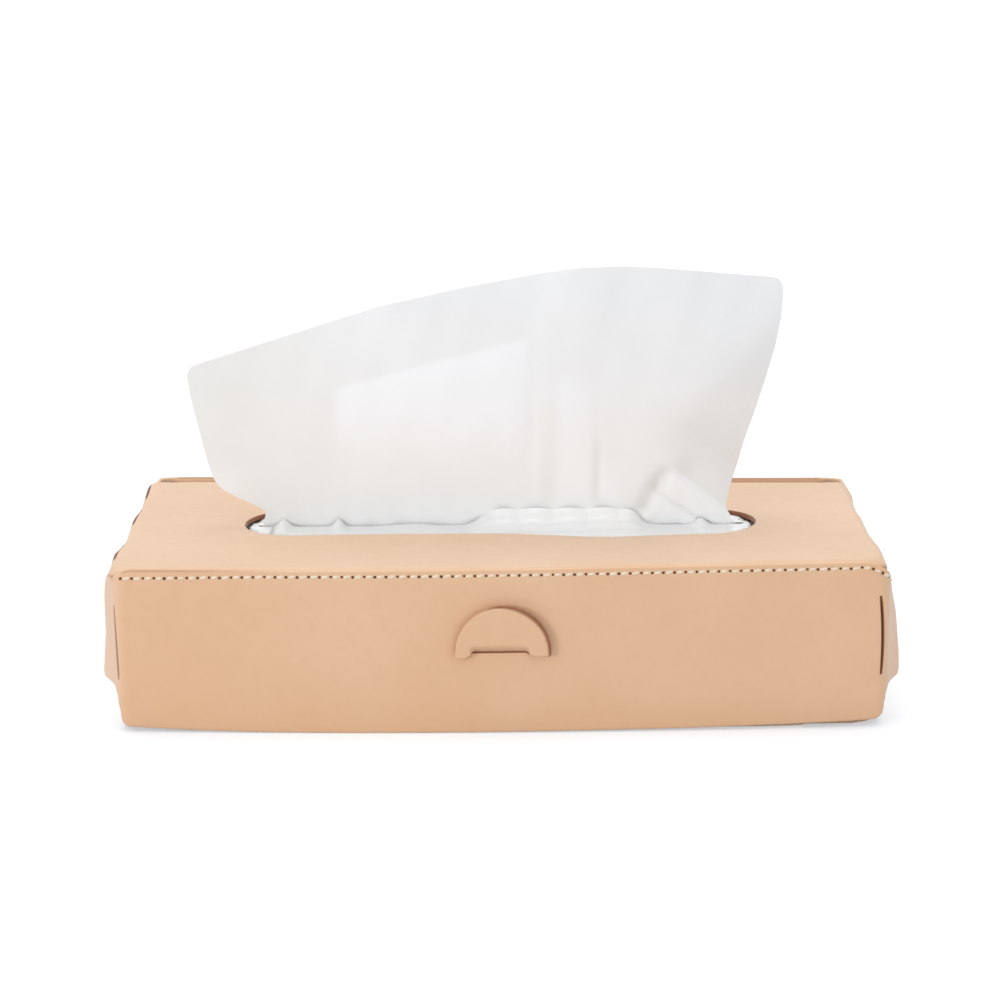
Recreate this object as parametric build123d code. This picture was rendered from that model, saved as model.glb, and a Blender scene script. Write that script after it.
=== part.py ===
from build123d import *
import math
import os

os.makedirs("parts", exist_ok=True)

# Leather case: overall sizes, in millimetres and degrees
case_length = 254.0
case_depth = 124.0
case_height = 56.0
leather = 1.8
layer_gap = 0.25
front_bulge = 3.0
fold_radius = 3.0
base_lift = 0.5

# Front panel and its ears
front_top_drop = 0.4
front_corner_radius = 5.0
front_lower_corner = 4.0
ear_depth = 18.0
ear_flare = 18.0
ear_straight = 0.5
ear_top_drop = 1.6
ear_top_radius = 12.0
ear_lower_edge = 15.0
ear_notch_radius = 8.0
ear_notch_inset = 1.0
corner_slit_low = 18.0
corner_slit_length = 26.0
slit_width = 0.9

# Back panel and its ears
back_corner_radius = 9.0
back_edge_proud = 0.8
back_ear_depth = 18.0
back_ear_top_radius = 7.0
end_notch_drop = 6.0

# Sewing flanges of the top leather
flange_drop = 12.0
flange_side_gap = 5.0
hinge_gap = 0.1

# Opening in the top and the slits in the end folds
opening_length = 177.0
opening_width = 37.0
end_slit_count = 3
end_slit_length = 21.0
end_slit_margin = 6.5

# Closure: slot in the front panel, inner flap and tongue
slot_lip_height = 28.0
slot_lip_half = 8.7
slot_shoulder_height = 26.4
slot_shoulder_half = 11.2
tongue_slope = 30.0
tongue_clearance = 0.35
tongue_bend_radius = 2.0
neck_half = 10.2
head_radius = 15.2
head_top = 42.5
head_proud = 0.3
barb_gap = 0.5
inner_flap_height = 24.0
inner_flap_half = 100.0
inner_flap_corner = 15.0

# Stitching
stitch_pitch = 3.6
stitch_length = 2.8
stitch_thread = 0.6
stitch_inset = 1.8
stitch_slant = 9.0
stitch_gap = 0.05
crown_stitches = 4

# Carton, film and tissues
carton_end_gap = 5.2
carton_front_gap = 1.0
carton_back_gap = 0.4
carton_top_gap = 2.4
carton_wall = 0.6
carton_hole_margin = 4.5
film_thickness = 0.3
film_margin = 6.0
film_slit_width = 6.0
film_slit_margin = 2.0
stack_headroom = 10.2
stack_gap = 2.0
soft_gap = 0.3

# Pulled tissue: heights are above the case's top, and reaches are from its middle
tissue_thickness = 1.6
tissue_foot_half = 82.0
tissue_neck_height = 3.0
tissue_flare_height = 11.0
tissue_left_flare = 98.0
tissue_right_flare = 79.0
tissue_left_reach = 107.5
tissue_left_height = 55.0
tissue_middle_height = 85.5
tissue_right_reach = 99.0
tissue_right_height = 85.0
tissue_edge_spare = 8.0
tissue_side_spare = 1.0

# Its folds from left to right: place across the width, depth at the upper edge and bow up to the next
fold_places = (0.0, 0.34, 0.56, 0.67, 0.78, 1.0)
fold_depths = (10.0, -7.0, 0.0, -5.0, -1.0, 17.0)
fold_bows = (-4.0, -1.0, -1.0, 1.0, 2.0)
neck_fold_share = 0.04
flare_fold_share = 0.3

# Derived sizes
half_length = case_length / 2
front_face = -case_depth / 2
back_face = case_depth / 2
layer_inset = leather + layer_gap
ear_outer = half_length + layer_inset
front_radius = (ear_outer**2 + front_bulge**2) / (2 * front_bulge)
front_centre = front_face + front_radius
front_end = front_face + front_bulge
ear_rear = front_end + ear_depth
top_front = front_face + layer_inset
top_back = back_face - layer_inset
corner_x = ear_outer - front_corner_radius
corner_y = front_end + front_corner_radius
flare_start = corner_y + ear_straight
ear_top = case_height - ear_top_drop
underside = case_height - leather
flange_low = case_height - flange_drop
seam_height = case_height - front_top_drop - stitch_inset
stitch_offset = stitch_gap + stitch_thread / 2
end_slit_pitch = (case_depth - end_slit_length - 2 * end_slit_margin) / (end_slit_count - 1)
inside_radius = front_radius - layer_inset - leather
front_inside = front_centre - math.sqrt(inside_radius**2 - half_length**2)
carton_front = front_inside + carton_front_gap
carton_back = top_back - leather - carton_back_gap
carton_length = case_length - 2 * (leather + carton_end_gap)
carton_depth = carton_back - carton_front
carton_middle = (carton_front + carton_back) / 2
carton_floor = leather
carton_top = underside - carton_top_gap
carton_height = carton_top - carton_floor
stack_low = carton_floor + carton_wall + soft_gap
stack_top = carton_top - carton_wall - film_thickness - stack_headroom
stack_height = stack_top - stack_low
tail_low = stack_top + soft_gap
neck_height = case_height + tissue_neck_height
flare_height = case_height + tissue_flare_height
margin = 20.0


def front_y(x, inset=0.0):
    """The y of the curved front at x, for a layer that lies inset behind its outer face."""
    return front_centre - math.sqrt((front_radius - inset) ** 2 - x**2)


def ear_x(y):
    """The x of the right ear's outer face, which flares outwards behind the front corner."""
    return ear_outer + math.tan(math.radians(ear_flare)) * (y - flare_start)


def both_sides(solid):
    """A solid and its mirror image in the middle plane of the case."""
    return solid + mirror(solid, Plane.YZ)


def block(x_low, x_high, y_low, y_high, z_low, z_high):
    """A plain block between two corners."""
    centre = Pos((x_low + x_high) / 2, (y_low + y_high) / 2, (z_low + z_high) / 2)
    return centre * Box(x_high - x_low, y_high - y_low, z_high - z_low)


def front_wall(inset, half_width, low, high):
    """A wall of leather that follows the front's curve."""
    outer = [(x, front_y(x, inset)) for x in (-half_width, 0, half_width)]
    inner = [(x, front_y(x, inset + leather)) for x in (half_width, 0, -half_width)]
    edges = [
        ThreePointArc(*outer),
        Line(outer[-1], inner[0]),
        ThreePointArc(*inner),
        Line(inner[-1], outer[0]),
    ]
    return Pos(0, 0, low) * extrude(make_face(edges), high - low, dir=(0, 0, 1))


def rounded_upright(outline, radius, corners):
    """A plan outline with some corners rounded, chosen by a test on the corner."""
    picked = [v for v in outline.vertices() if corners(v)]
    return fillet(picked, radius) if radius > 0 else outline


def plan_outline(inset, corner_inset):
    """The plan of the case at a layer's depth, with its curved front and rounded corners."""
    side = ear_outer - inset
    back = back_face - inset
    front = [(x, front_y(x, inset)) for x in (-side, 0, side)]
    edges = [
        ThreePointArc(*front),
        Line(front[-1], (side, back)),
        Line((side, back), (-side, back)),
        Line((-side, back), front[0]),
    ]
    plan = make_face(edges)
    plan = rounded_upright(plan, front_corner_radius - corner_inset, lambda v: v.Y < 0)
    return rounded_upright(plan, back_corner_radius - corner_inset, lambda v: v.Y > 0)


def folded_bar(half_width, top, radius):
    """A block along Y with its two upper edges rounded, as the end folds are."""
    profile = Plane.XZ * Pos(0, top / 2 - margin / 2) * Rectangle(2 * half_width, top + margin)
    upper = [v for v in profile.vertices() if v.Z > 0]
    return extrude(fillet(upper, radius), case_depth, both=True)


def folded_back(back, top, radius):
    """A block along X with its upper back edge rounded, as the back fold is."""
    depth = back - front_face + margin
    profile = Plane.YZ * Pos(back - depth / 2, top / 2 - margin / 2) * Rectangle(depth, top + margin)
    upper = [v for v in profile.vertices() if v.Z > 0 and v.Y > 0]
    return extrude(fillet(upper, radius), case_length, both=True)


def make_end_slits():
    """Cutters for the slits that ease the fold between the top and each end panel."""
    reach = 4 * fold_radius
    cutter = Rot(0, 45, 0) * Box(slit_width, end_slit_length, reach)
    first = -end_slit_pitch * (end_slit_count - 1) / 2
    cutters = Part()
    for number in range(end_slit_count):
        place = Pos(half_length, first + number * end_slit_pitch, case_height)
        cutters += place * cutter
    return both_sides(cutters)


def make_top_cover():
    """Top leather: top, end panels and back flange, folded from one piece."""
    outline = plan_outline(layer_inset, layer_inset)
    outer = extrude(outline, case_height, dir=(0, 0, 1))
    outer &= folded_bar(half_length, case_height, fold_radius)
    outer &= folded_back(top_back, case_height, fold_radius)
    inner_plan = offset(outline, -leather)
    inner_plan += Pos(0, front_face) * Rectangle(2 * (half_length - leather), margin)
    hollow = extrude(inner_plan, underside, dir=(0, 0, 1))
    hollow &= folded_bar(half_length - leather, underside, fold_radius - leather)
    hollow &= folded_back(top_back - leather, underside, fold_radius - leather)
    cover = outer - hollow
    side_end = back_face - back_corner_radius
    cover -= block(-case_length, case_length, side_end, case_depth, -margin, flange_low)
    notch_low_x = ear_outer - back_corner_radius
    notch_top = case_height - end_notch_drop
    cover -= both_sides(block(notch_low_x, case_length, side_end, case_depth, -margin, notch_top))
    cover -= block(-case_length, case_length, -case_depth, case_depth, -margin, base_lift)
    cover -= block(
        -half_length + 2 * leather,
        half_length - 2 * leather,
        -case_depth,
        front_inside,
        -margin,
        underside,
    )
    cover -= extrude(SlotOverall(opening_length, opening_width), 2 * case_height)
    return cover - make_end_slits()


def ear_plan(grow):
    """Plan of the front panel with its flared ears, shrunk inwards by grow."""
    rear_y = ear_rear + margin
    front = [(x, front_y(x)) for x in (-ear_outer, 0, ear_outer)]
    turn = (ear_outer, flare_start)
    rear = (ear_x(rear_y), rear_y)
    edges = [
        ThreePointArc(*front),
        Line(front[-1], turn),
        Line(turn, rear),
        Line(rear, (-rear[0], rear[1])),
        Line((-rear[0], rear[1]), (-turn[0], turn[1])),
        Line((-turn[0], turn[1]), front[0]),
    ]
    plan = make_face(edges)
    plan = rounded_upright(plan, front_corner_radius, lambda v: v.Y < corner_y)
    return offset(plan, -grow) if grow else plan


def make_crown_trim(bend, end, radius):
    """Cutter above an ear that leaves its rounded top corner, from its bend to its free end."""
    way = math.copysign(1, end - bend)
    turn = end - way * radius
    bow = radius * math.sqrt(0.5)
    low = ear_top - radius
    beyond = end + way * margin
    high = case_height + margin
    edges = [
        Line((bend, high), (bend, ear_top)),
        Line((bend, ear_top), (turn, ear_top)),
        ThreePointArc((turn, ear_top), (turn + way * bow, low + bow), (end, low)),
        Line((end, low), (beyond, low)),
        Line((beyond, low), (beyond, high)),
        Line((beyond, high), (bend, high)),
    ]
    return extrude(Plane.YZ * make_face(edges), case_length, both=True)


def make_notch_trim():
    """Cutter that gives the front ears their level lower edge and the hollow notch in front of it."""
    notch_y = front_end + ear_notch_inset
    level_y = notch_y + ear_notch_radius
    notch_low = ear_lower_edge - ear_notch_radius
    beyond = ear_rear + margin
    bow = ear_notch_radius * math.sqrt(0.5)
    edges = [
        Line((notch_y, -margin), (notch_y, notch_low)),
        ThreePointArc((notch_y, notch_low), (level_y - bow, notch_low + bow), (level_y, ear_lower_edge)),
        Line((level_y, ear_lower_edge), (beyond, ear_lower_edge)),
        Line((beyond, ear_lower_edge), (beyond, -margin)),
        Line((beyond, -margin), (notch_y, -margin)),
    ]
    return extrude(Plane.YZ * make_face(edges), case_length, both=True)


def make_lower_corner_trim():
    """Cutters that round the lower corners of the front panel."""
    side = corner_x + math.sqrt(front_corner_radius**2 - (front_corner_radius - ear_notch_inset) ** 2)
    square = Pos(side - front_lower_corner / 2 + margin / 2, front_lower_corner / 2 - margin / 2)
    corner = square * Rectangle(front_lower_corner + margin, front_lower_corner + margin)
    corner -= Pos(side - front_lower_corner, front_lower_corner) * Circle(front_lower_corner)
    trim = Pos(0, front_face) * extrude(Plane.XZ * corner, front_corner_radius, both=True)
    return both_sides(trim)


def make_corner_slits():
    """Cutters for the long slit in each corner fold of the front panel."""
    reach = 2 * front_corner_radius
    place = Pos(corner_x, corner_y, corner_slit_low + corner_slit_length / 2)
    cutter = Rot(0, 0, -45) * Pos(reach / 2, 0, 0) * Box(reach, slit_width, corner_slit_length)
    return both_sides(place * cutter)


def make_slot_cutter():
    """Slanted cutter for the bracket-shaped slot that the tongue comes through."""
    slope = math.radians(tongue_slope)
    upper = slot_lip_height + leather / math.cos(slope) + 2 * tongue_clearance
    outline = Polyline(
        (-slot_shoulder_half, slot_shoulder_height),
        (-slot_lip_half, slot_lip_height),
        (slot_lip_half, slot_lip_height),
        (slot_shoulder_half, slot_shoulder_height),
        (slot_shoulder_half, upper),
        (-slot_shoulder_half, upper),
        close=True,
    )
    face = Pos(0, front_face, 0) * (Plane.XZ * make_face(outline))
    inward = (0, math.cos(slope), -math.sin(slope))
    outward = (0, -math.cos(slope), math.sin(slope))
    return extrude(face, 2 * leather, dir=inward) + extrude(face, leather, dir=outward)


def make_front_panel():
    """Front leather: panel and ears in one piece, with corner slits and the tongue's slot."""
    top = case_height - front_top_drop
    wall = extrude(ear_plan(0) - ear_plan(leather), top, dir=(0, 0, 1))
    wall -= block(-case_length, case_length, ear_rear, case_depth, -margin, case_height + margin)
    wall -= make_notch_trim()
    wall -= make_crown_trim(corner_y, ear_rear, ear_top_radius)
    wall -= make_lower_corner_trim()
    wall -= make_corner_slits()
    return wall - make_slot_cutter()


def make_front_flange():
    """The top leather's front flange, which is sewn behind the front panel and lifts with it."""
    return front_wall(layer_inset, corner_x - flange_side_gap, flange_low, underside - hinge_gap)


def make_back_panel():
    """Back panel with its two ears, whose raw top edge stands just above the top."""
    outer = plan_outline(0, 0)
    wall = extrude(outer - offset(outer, -leather), case_height + back_edge_proud, dir=(0, 0, 1))
    ear_end = back_face - back_ear_depth
    wall -= block(-case_length, case_length, -case_depth, ear_end, -margin, case_height + margin)
    wall -= block(-case_length, case_length, -case_depth, case_depth, -margin, fold_radius)
    ear_bend = back_face - back_corner_radius
    wall -= make_crown_trim(ear_bend, ear_end, back_ear_top_radius)
    low_ear = block(-case_length, case_length, -case_depth, ear_bend, -margin, ear_lower_edge)
    return wall - low_ear


def make_bottom_panel():
    """Bottom of the case, with the fold that carries it up into the back panel."""
    side = half_length - leather - soft_gap
    straight = back_face - back_corner_radius
    plan = Rectangle(2 * side, case_depth + margin)
    plan &= plan_outline(layer_inset, layer_inset)
    plate = extrude(plan, leather, dir=(0, 0, 1))
    plate -= block(-case_length, case_length, straight, case_depth, -margin, margin)
    bend_half = ear_outer - back_corner_radius
    profile = [
        Line((straight, 0), (back_face - fold_radius, 0)),
        RadiusArc((back_face - fold_radius, 0), (back_face, fold_radius), -fold_radius),
        Line((back_face, fold_radius), (back_face - leather, fold_radius)),
        RadiusArc(
            (back_face - leather, fold_radius), (back_face - fold_radius, leather), fold_radius - leather
        ),
        Line((back_face - fold_radius, leather), (straight, leather)),
        Line((straight, leather), (straight, 0)),
    ]
    bend = extrude(Plane.YZ * make_face(profile), bend_half, both=True)
    return plate + bend


def make_inner_flap():
    """Inner front flap that stands up behind the front panel."""
    wall = front_wall(layer_inset, corner_x, leather, case_height)
    keep = Rectangle(2 * inner_flap_half, 2 * inner_flap_height)
    upper = [v for v in keep.vertices() if v.Y > 0]
    outline = fillet(upper, inner_flap_corner)
    return wall & extrude(Plane.XZ * outline, case_depth, both=True)


def make_closure_tongue():
    """Tongue of the inner flap: its neck bends out through the slot and carries a half-disc head."""
    slope = math.radians(tongue_slope)
    inner_mid = top_front + leather / 2
    outer_mid = front_face - head_proud - leather / 2
    lean = math.tan(slope)
    rise_below = leather / 2 / math.cos(slope)
    lip_centre = slot_lip_height + tongue_clearance + rise_below
    bend_low = lip_centre - (inner_mid - front_face) * lean
    bend_high = bend_low + (inner_mid - outer_mid) * lean
    neck_top = bend_high + 2 * leather
    path = FilletPolyline(
        (inner_mid, inner_flap_height),
        (inner_mid, bend_low),
        (outer_mid, bend_high),
        (outer_mid, neck_top),
        radius=tongue_bend_radius,
    )
    profile = make_face(offset(path, leather / 2, side=Side.BOTH, kind=Kind.INTERSECTION))
    low_cut = Pos(inner_mid, inner_flap_height - margin / 2) * Rectangle(margin, margin)
    high_cut = Pos(outer_mid, neck_top + margin / 2) * Rectangle(margin, margin)
    profile = profile - low_cut - high_cut
    neck = extrude(Plane.YZ * profile, neck_half, both=True)
    disc_centre = head_top - head_radius
    disc = Pos(0, disc_centre) * Circle(head_radius)
    skirt_height = disc_centre - slot_shoulder_height
    skirt = Pos(0, slot_shoulder_height + skirt_height / 2) * Rectangle(2 * head_radius, skirt_height)
    head_face = disc - Pos(0, disc_centre - head_radius) * Rectangle(4 * head_radius, 2 * head_radius)
    head_face += skirt
    head_face -= Pos(0, bend_high - margin / 2) * Rectangle(2 * (neck_half + barb_gap), margin)
    plate = Pos(0, outer_mid, 0) * extrude(Plane.XZ * head_face, leather / 2, both=True)
    return neck + plate


def make_stitch():
    """One slanted stitch of thread, lying along X."""
    return Rot(0, -stitch_slant, 0) * Box(stitch_length, stitch_thread, stitch_thread)


def seam_places(half_width):
    """Evenly spaced places along a straight seam, as many as fit."""
    count = int(2 * half_width / stitch_pitch)
    first = -stitch_pitch * (count - 1) / 2
    return [first + number * stitch_pitch for number in range(count)]


def make_crown_stitches():
    """Stitches that follow the rounded top corner of the right ear."""
    radius = ear_top_radius - stitch_inset
    flare = math.radians(ear_flare)
    outward = Vector(math.cos(flare), -math.sin(flare), 0)
    stitches = []
    for number in range(crown_stitches):
        angle = (number + 0.5) * stitch_pitch / radius
        y = ear_rear - ear_top_radius + radius * math.sin(angle)
        z = ear_top - ear_top_radius + radius * math.cos(angle)
        along = Vector(math.sin(flare), math.cos(flare), 0) * math.cos(angle) - Vector(0, 0, math.sin(angle))
        origin = Vector(ear_x(y), y, z) + outward * stitch_offset
        stitches.append(Plane(origin, x_dir=along, z_dir=along.cross(outward)) * make_stitch())
    return stitches


def make_front_stitching():
    """Stitches along the front panel's upper edge and round the top corners of its ears."""
    stitches = []
    for x in seam_places(corner_x):
        turn = math.degrees(math.asin(x / front_radius))
        stitches.append(Pos(x, front_y(x) - stitch_offset, seam_height) * Rot(0, 0, turn) * make_stitch())
    crown = make_crown_stitches()
    return Compound(children=stitches + crown + [mirror(stitch, Plane.YZ) for stitch in crown])


def make_back_stitching():
    """Stitches along the back panel's upper edge."""
    places = seam_places(ear_outer - back_corner_radius)
    y = back_face + stitch_offset
    return Compound(children=[Pos(x, y, seam_height) * make_stitch() for x in places])


def make_tissue_carton():
    """Paper carton with its long top opening."""
    outer = Pos(0, carton_middle, carton_floor + carton_height / 2) * Box(
        carton_length, carton_depth, carton_height
    )
    inner = Pos(0, carton_middle, carton_floor + carton_height / 2) * Box(
        carton_length - 2 * carton_wall, carton_depth - 2 * carton_wall, carton_height - 2 * carton_wall
    )
    hole = SlotOverall(opening_length + 2 * carton_hole_margin, opening_width + 2 * carton_hole_margin)
    hole = Pos(0, 0, carton_top - 2 * carton_wall) * extrude(hole, margin)
    return outer - inner - hole


def make_carton_film():
    """Film under the carton's opening, with the slit that the tissue comes through."""
    reach = 2 * (carton_hole_margin + film_margin)
    sheet = RectangleRounded(opening_length + reach, opening_width + reach, film_margin)
    sheet -= SlotOverall(2 * (tissue_foot_half + film_slit_margin), film_slit_width)
    top = carton_top - carton_wall
    return Pos(0, 0, top - film_thickness) * extrude(sheet, film_thickness)


def make_tissue_stack():
    """The folded tissues left in the carton."""
    length = carton_length - 2 * (carton_wall + stack_gap)
    depth = carton_depth - 2 * (carton_wall + stack_gap)
    return Pos(0, carton_middle, stack_low + stack_height / 2) * Box(length, depth, stack_height)


def tissue_section(height, left, right, share):
    """One level section of the tissue: a thin band along arcs, folded by a share of the full depth."""
    nodes = [(left + place * (right - left), share * deep) for place, deep in zip(fold_places, fold_depths)]
    front = []
    back = []
    for start, stop, bow in zip(nodes, nodes[1:], fold_bows):
        middle = ((start[0] + stop[0]) / 2, (start[1] + stop[1]) / 2 + share * bow)
        front.append([(x, y - tissue_thickness / 2) for x, y in (start, middle, stop)])
        back.append([(x, y + tissue_thickness / 2) for x, y in (stop, middle, start)])
    edges = [ThreePointArc(*points) for points in front]
    edges.append(Line(front[-1][-1], back[-1][0]))
    edges += [ThreePointArc(*points) for points in reversed(back)]
    edges.append(Line(back[0][-1], front[0][0]))
    return Pos(0, 0, height) * make_face(edges)


def make_tissue_outline():
    """Front view of the tissue: narrow tail, flare to the left and bowed upper edge."""
    side = tissue_foot_half + tissue_side_spare
    left_corner = (-tissue_left_reach, case_height + tissue_left_height)
    right_corner = (tissue_right_reach, case_height + tissue_right_height)
    edges = [
        Line((-side, tail_low), (-side, neck_height)),
        Line((-side, neck_height), (-tissue_left_flare, flare_height)),
        Line((-tissue_left_flare, flare_height), left_corner),
        ThreePointArc(left_corner, (0, case_height + tissue_middle_height), right_corner),
        Line(right_corner, (tissue_right_flare, flare_height)),
        Line((tissue_right_flare, flare_height), (side, neck_height)),
        Line((side, neck_height), (side, tail_low)),
        Line((side, tail_low), (-side, tail_low)),
    ]
    return extrude(Plane.XZ * make_face(edges), case_depth, both=True)


def make_pulled_tissue():
    """The standing tissue: a nearly flat tail in the film's slit, spreading into broad folds above."""
    upper = case_height + tissue_middle_height + tissue_edge_spare
    left_flare = tissue_left_flare + tissue_side_spare
    right_flare = tissue_right_flare + tissue_side_spare
    left_upper = tissue_left_reach + tissue_edge_spare
    right_upper = tissue_right_reach + tissue_edge_spare
    sections = [
        tissue_section(neck_height, -tissue_foot_half, tissue_foot_half, neck_fold_share),
        tissue_section(flare_height, -left_flare, right_flare, flare_fold_share),
        tissue_section(upper, -left_upper, right_upper, 1),
    ]
    tail = extrude(sections[0], neck_height - tail_low, dir=(0, 0, -1))
    spread = loft(sections[:2], ruled=True) + loft(sections[1:], ruled=True)
    return (tail + spread) & make_tissue_outline()


def write(name, solid):
    """Writes one named piece."""
    export_step(solid, "parts/" + name + ".step")


write("top_cover", make_top_cover())
write("front_panel", make_front_panel())
write("front_flange", make_front_flange())
write("back_panel", make_back_panel())
write("bottom_panel", make_bottom_panel())
write("inner_flap", make_inner_flap())
write("closure_tongue", make_closure_tongue())
write("front_stitching", make_front_stitching())
write("back_stitching", make_back_stitching())
write("tissue_carton", make_tissue_carton())
write("carton_film", make_carton_film())
write("tissue_stack", make_tissue_stack())
write("pulled_tissue", make_pulled_tissue())
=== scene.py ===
import logging
import math
from dataclasses import dataclass, field
from enum import Enum
from typing import Any, Callable, Optional

import bmesh
import bpy
import numpy as np
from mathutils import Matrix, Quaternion, Vector
from mathutils.geometry import delaunay_2d_cdt


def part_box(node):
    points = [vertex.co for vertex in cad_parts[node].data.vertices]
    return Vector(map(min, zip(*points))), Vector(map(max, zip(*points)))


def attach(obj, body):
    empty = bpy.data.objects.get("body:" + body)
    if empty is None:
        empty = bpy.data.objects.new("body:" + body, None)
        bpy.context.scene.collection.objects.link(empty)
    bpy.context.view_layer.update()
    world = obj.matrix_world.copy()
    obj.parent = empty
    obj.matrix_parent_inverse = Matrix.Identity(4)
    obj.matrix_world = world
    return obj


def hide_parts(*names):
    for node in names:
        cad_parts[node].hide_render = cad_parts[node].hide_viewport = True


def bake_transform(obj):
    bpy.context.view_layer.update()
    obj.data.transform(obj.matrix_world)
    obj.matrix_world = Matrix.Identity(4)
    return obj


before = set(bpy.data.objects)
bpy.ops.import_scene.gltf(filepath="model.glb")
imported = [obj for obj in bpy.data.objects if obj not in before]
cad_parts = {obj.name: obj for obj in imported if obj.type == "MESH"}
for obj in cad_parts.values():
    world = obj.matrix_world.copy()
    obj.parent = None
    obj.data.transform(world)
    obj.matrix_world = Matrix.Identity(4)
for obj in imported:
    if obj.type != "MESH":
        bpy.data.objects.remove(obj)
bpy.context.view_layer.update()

logging.basicConfig(level=logging.INFO, format="%(message)s")
log = logging.getLogger("tissue_case")

MM = 0.001
LEATHER = 1.8
Array = np.ndarray
Point = tuple[float, float]
Size = tuple[float, float, float]
Table = tuple[float, ...]
Tree = bpy.types.NodeTree
Places = Callable[[Array, Array], Array]


class Body(Enum):
    """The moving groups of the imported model."""

    CASE = "case"
    FRONT_FLAP = "front_flap"
    INNER_FOLD = "inner_fold"
    TISSUE = "tissue"


class Slot(Enum):
    """Names of material slots, passed to dress with each made piece."""

    LEATHER = "leather"
    THREAD = "thread"
    FILM = "clear_film"
    TISSUE = "tissue"


@dataclass(frozen=True)
class CaseSizes:
    """Main sizes of the case in millimetres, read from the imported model."""

    half_length: float
    top: float
    top_front: float
    top_back: float
    panel_front: float
    panel_top: float
    ear_outer: float
    back_face: float
    back_top: float
    back_ear_end: float
    fold_radius: float = 3.0

    @classmethod
    def from_frame(cls) -> "CaseSizes":
        """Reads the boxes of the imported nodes.

        Returns:
            The sizes of this case.
        """
        top_low, top_high = (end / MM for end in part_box("top_cover"))
        panel_low, panel_high = (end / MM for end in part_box("front_panel"))
        back_low, back_high = (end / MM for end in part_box("back_panel"))
        return cls(
            half_length=top_high.x,
            top=top_high.z,
            top_front=top_low.y,
            top_back=top_high.y,
            panel_front=panel_low.y,
            panel_top=panel_high.z,
            ear_outer=back_high.x,
            back_face=back_high.y,
            back_top=back_high.z,
            back_ear_end=back_low.y,
        )


def linear(colour: str) -> tuple[float, float, float, float]:
    """Turns an sRGB hex colour into linear values.

    Args:
        colour: Six hex digits after a hash sign.

    Returns:
        Linear red, green, blue and an alpha of 1.
    """
    parts = [int(colour[i : i + 2], 16) / 255 for i in (1, 3, 5)]
    red, green, blue = (c / 12.92 if c <= 0.04045 else ((c + 0.055) / 1.055) ** 2.4 for c in parts)
    return red, green, blue, 1.0


def add_node(tree: Tree, kind: str, inputs: Any = (), out: Any = None, **settings: Any) -> Any:
    """Adds a node with its settings, values and links.

    Args:
        tree: The tree that gets the node.
        kind: The node's type name.
        inputs: Values, or output sockets that feed them, in the sockets' order or by socket.
        out: Name or number of the output that is wanted, or None for the node.
        **settings: Properties of the node itself.

    Returns:
        The output socket, or the node.
    """
    made = tree.nodes.new(kind)
    for name, value in settings.items():
        setattr(made, name, value)
    for key, value in (inputs if isinstance(inputs, dict) else dict(enumerate(inputs))).items():
        if isinstance(value, bpy.types.NodeSocket):
            tree.links.new(value, made.inputs[key])
        else:
            made.inputs[key].default_value = value
    return made if out is None else made.outputs[out]


def felt(tree: Tree, size: float, detail: float = 3.0, seed: float = 0.0) -> Any:
    """Adds the random pattern of hide, fibre or board, on Object coordinates.

    Args:
        tree: The material's tree.
        size: Width of one blotch in millimetres.
        detail: Octaves of finer pattern.
        seed: Shift along X in metres, so that patterns differ.

    Returns:
        The pattern's value socket.
    """
    place = add_node(tree, "ShaderNodeTexCoord", out="Object")
    moved = add_node(tree, "ShaderNodeMapping", {"Vector": place, "Location": (seed, 0, 0)}, "Vector")
    return add_node(
        tree, "ShaderNodeTexNoise", {"Vector": moved, "Scale": 1 / (size * MM), "Detail": detail}, "Fac"
    )


def shaded(tree: Tree, tone: str, layers: list[tuple[Any, str]]) -> Any:
    """Lays shades over a base colour.

    Args:
        tree: The material's tree.
        tone: Hex colour of the base.
        layers: For each shade its share as a socket, and its hex colour.

    Returns:
        The colour socket.
    """
    colour = linear(tone)
    for share, shade in layers:
        mixed = {0: share, 6: colour, 7: linear(shade)}
        colour = add_node(tree, "ShaderNodeMix", mixed, 2, data_type="RGBA")
    return colour


@dataclass(frozen=True)
class Finish:
    """A material with one Principled shader, whose inputs each kind of finish works out."""

    name: str

    def inputs(self, tree: Tree) -> dict[str, Any]:
        """The shader's inputs, as values or sockets."""
        raise NotImplementedError

    def material(self) -> bpy.types.Material:
        """Builds the material.

        Returns:
            The finished material.
        """
        material = bpy.data.materials.new(self.name)
        material.use_nodes = True
        tree = material.node_tree
        tree.nodes.clear()
        shader = add_node(tree, "ShaderNodeBsdfPrincipled", self.inputs(tree), "BSDF")
        add_node(tree, "ShaderNodeOutputMaterial", {"Surface": shader})
        return material


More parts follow.
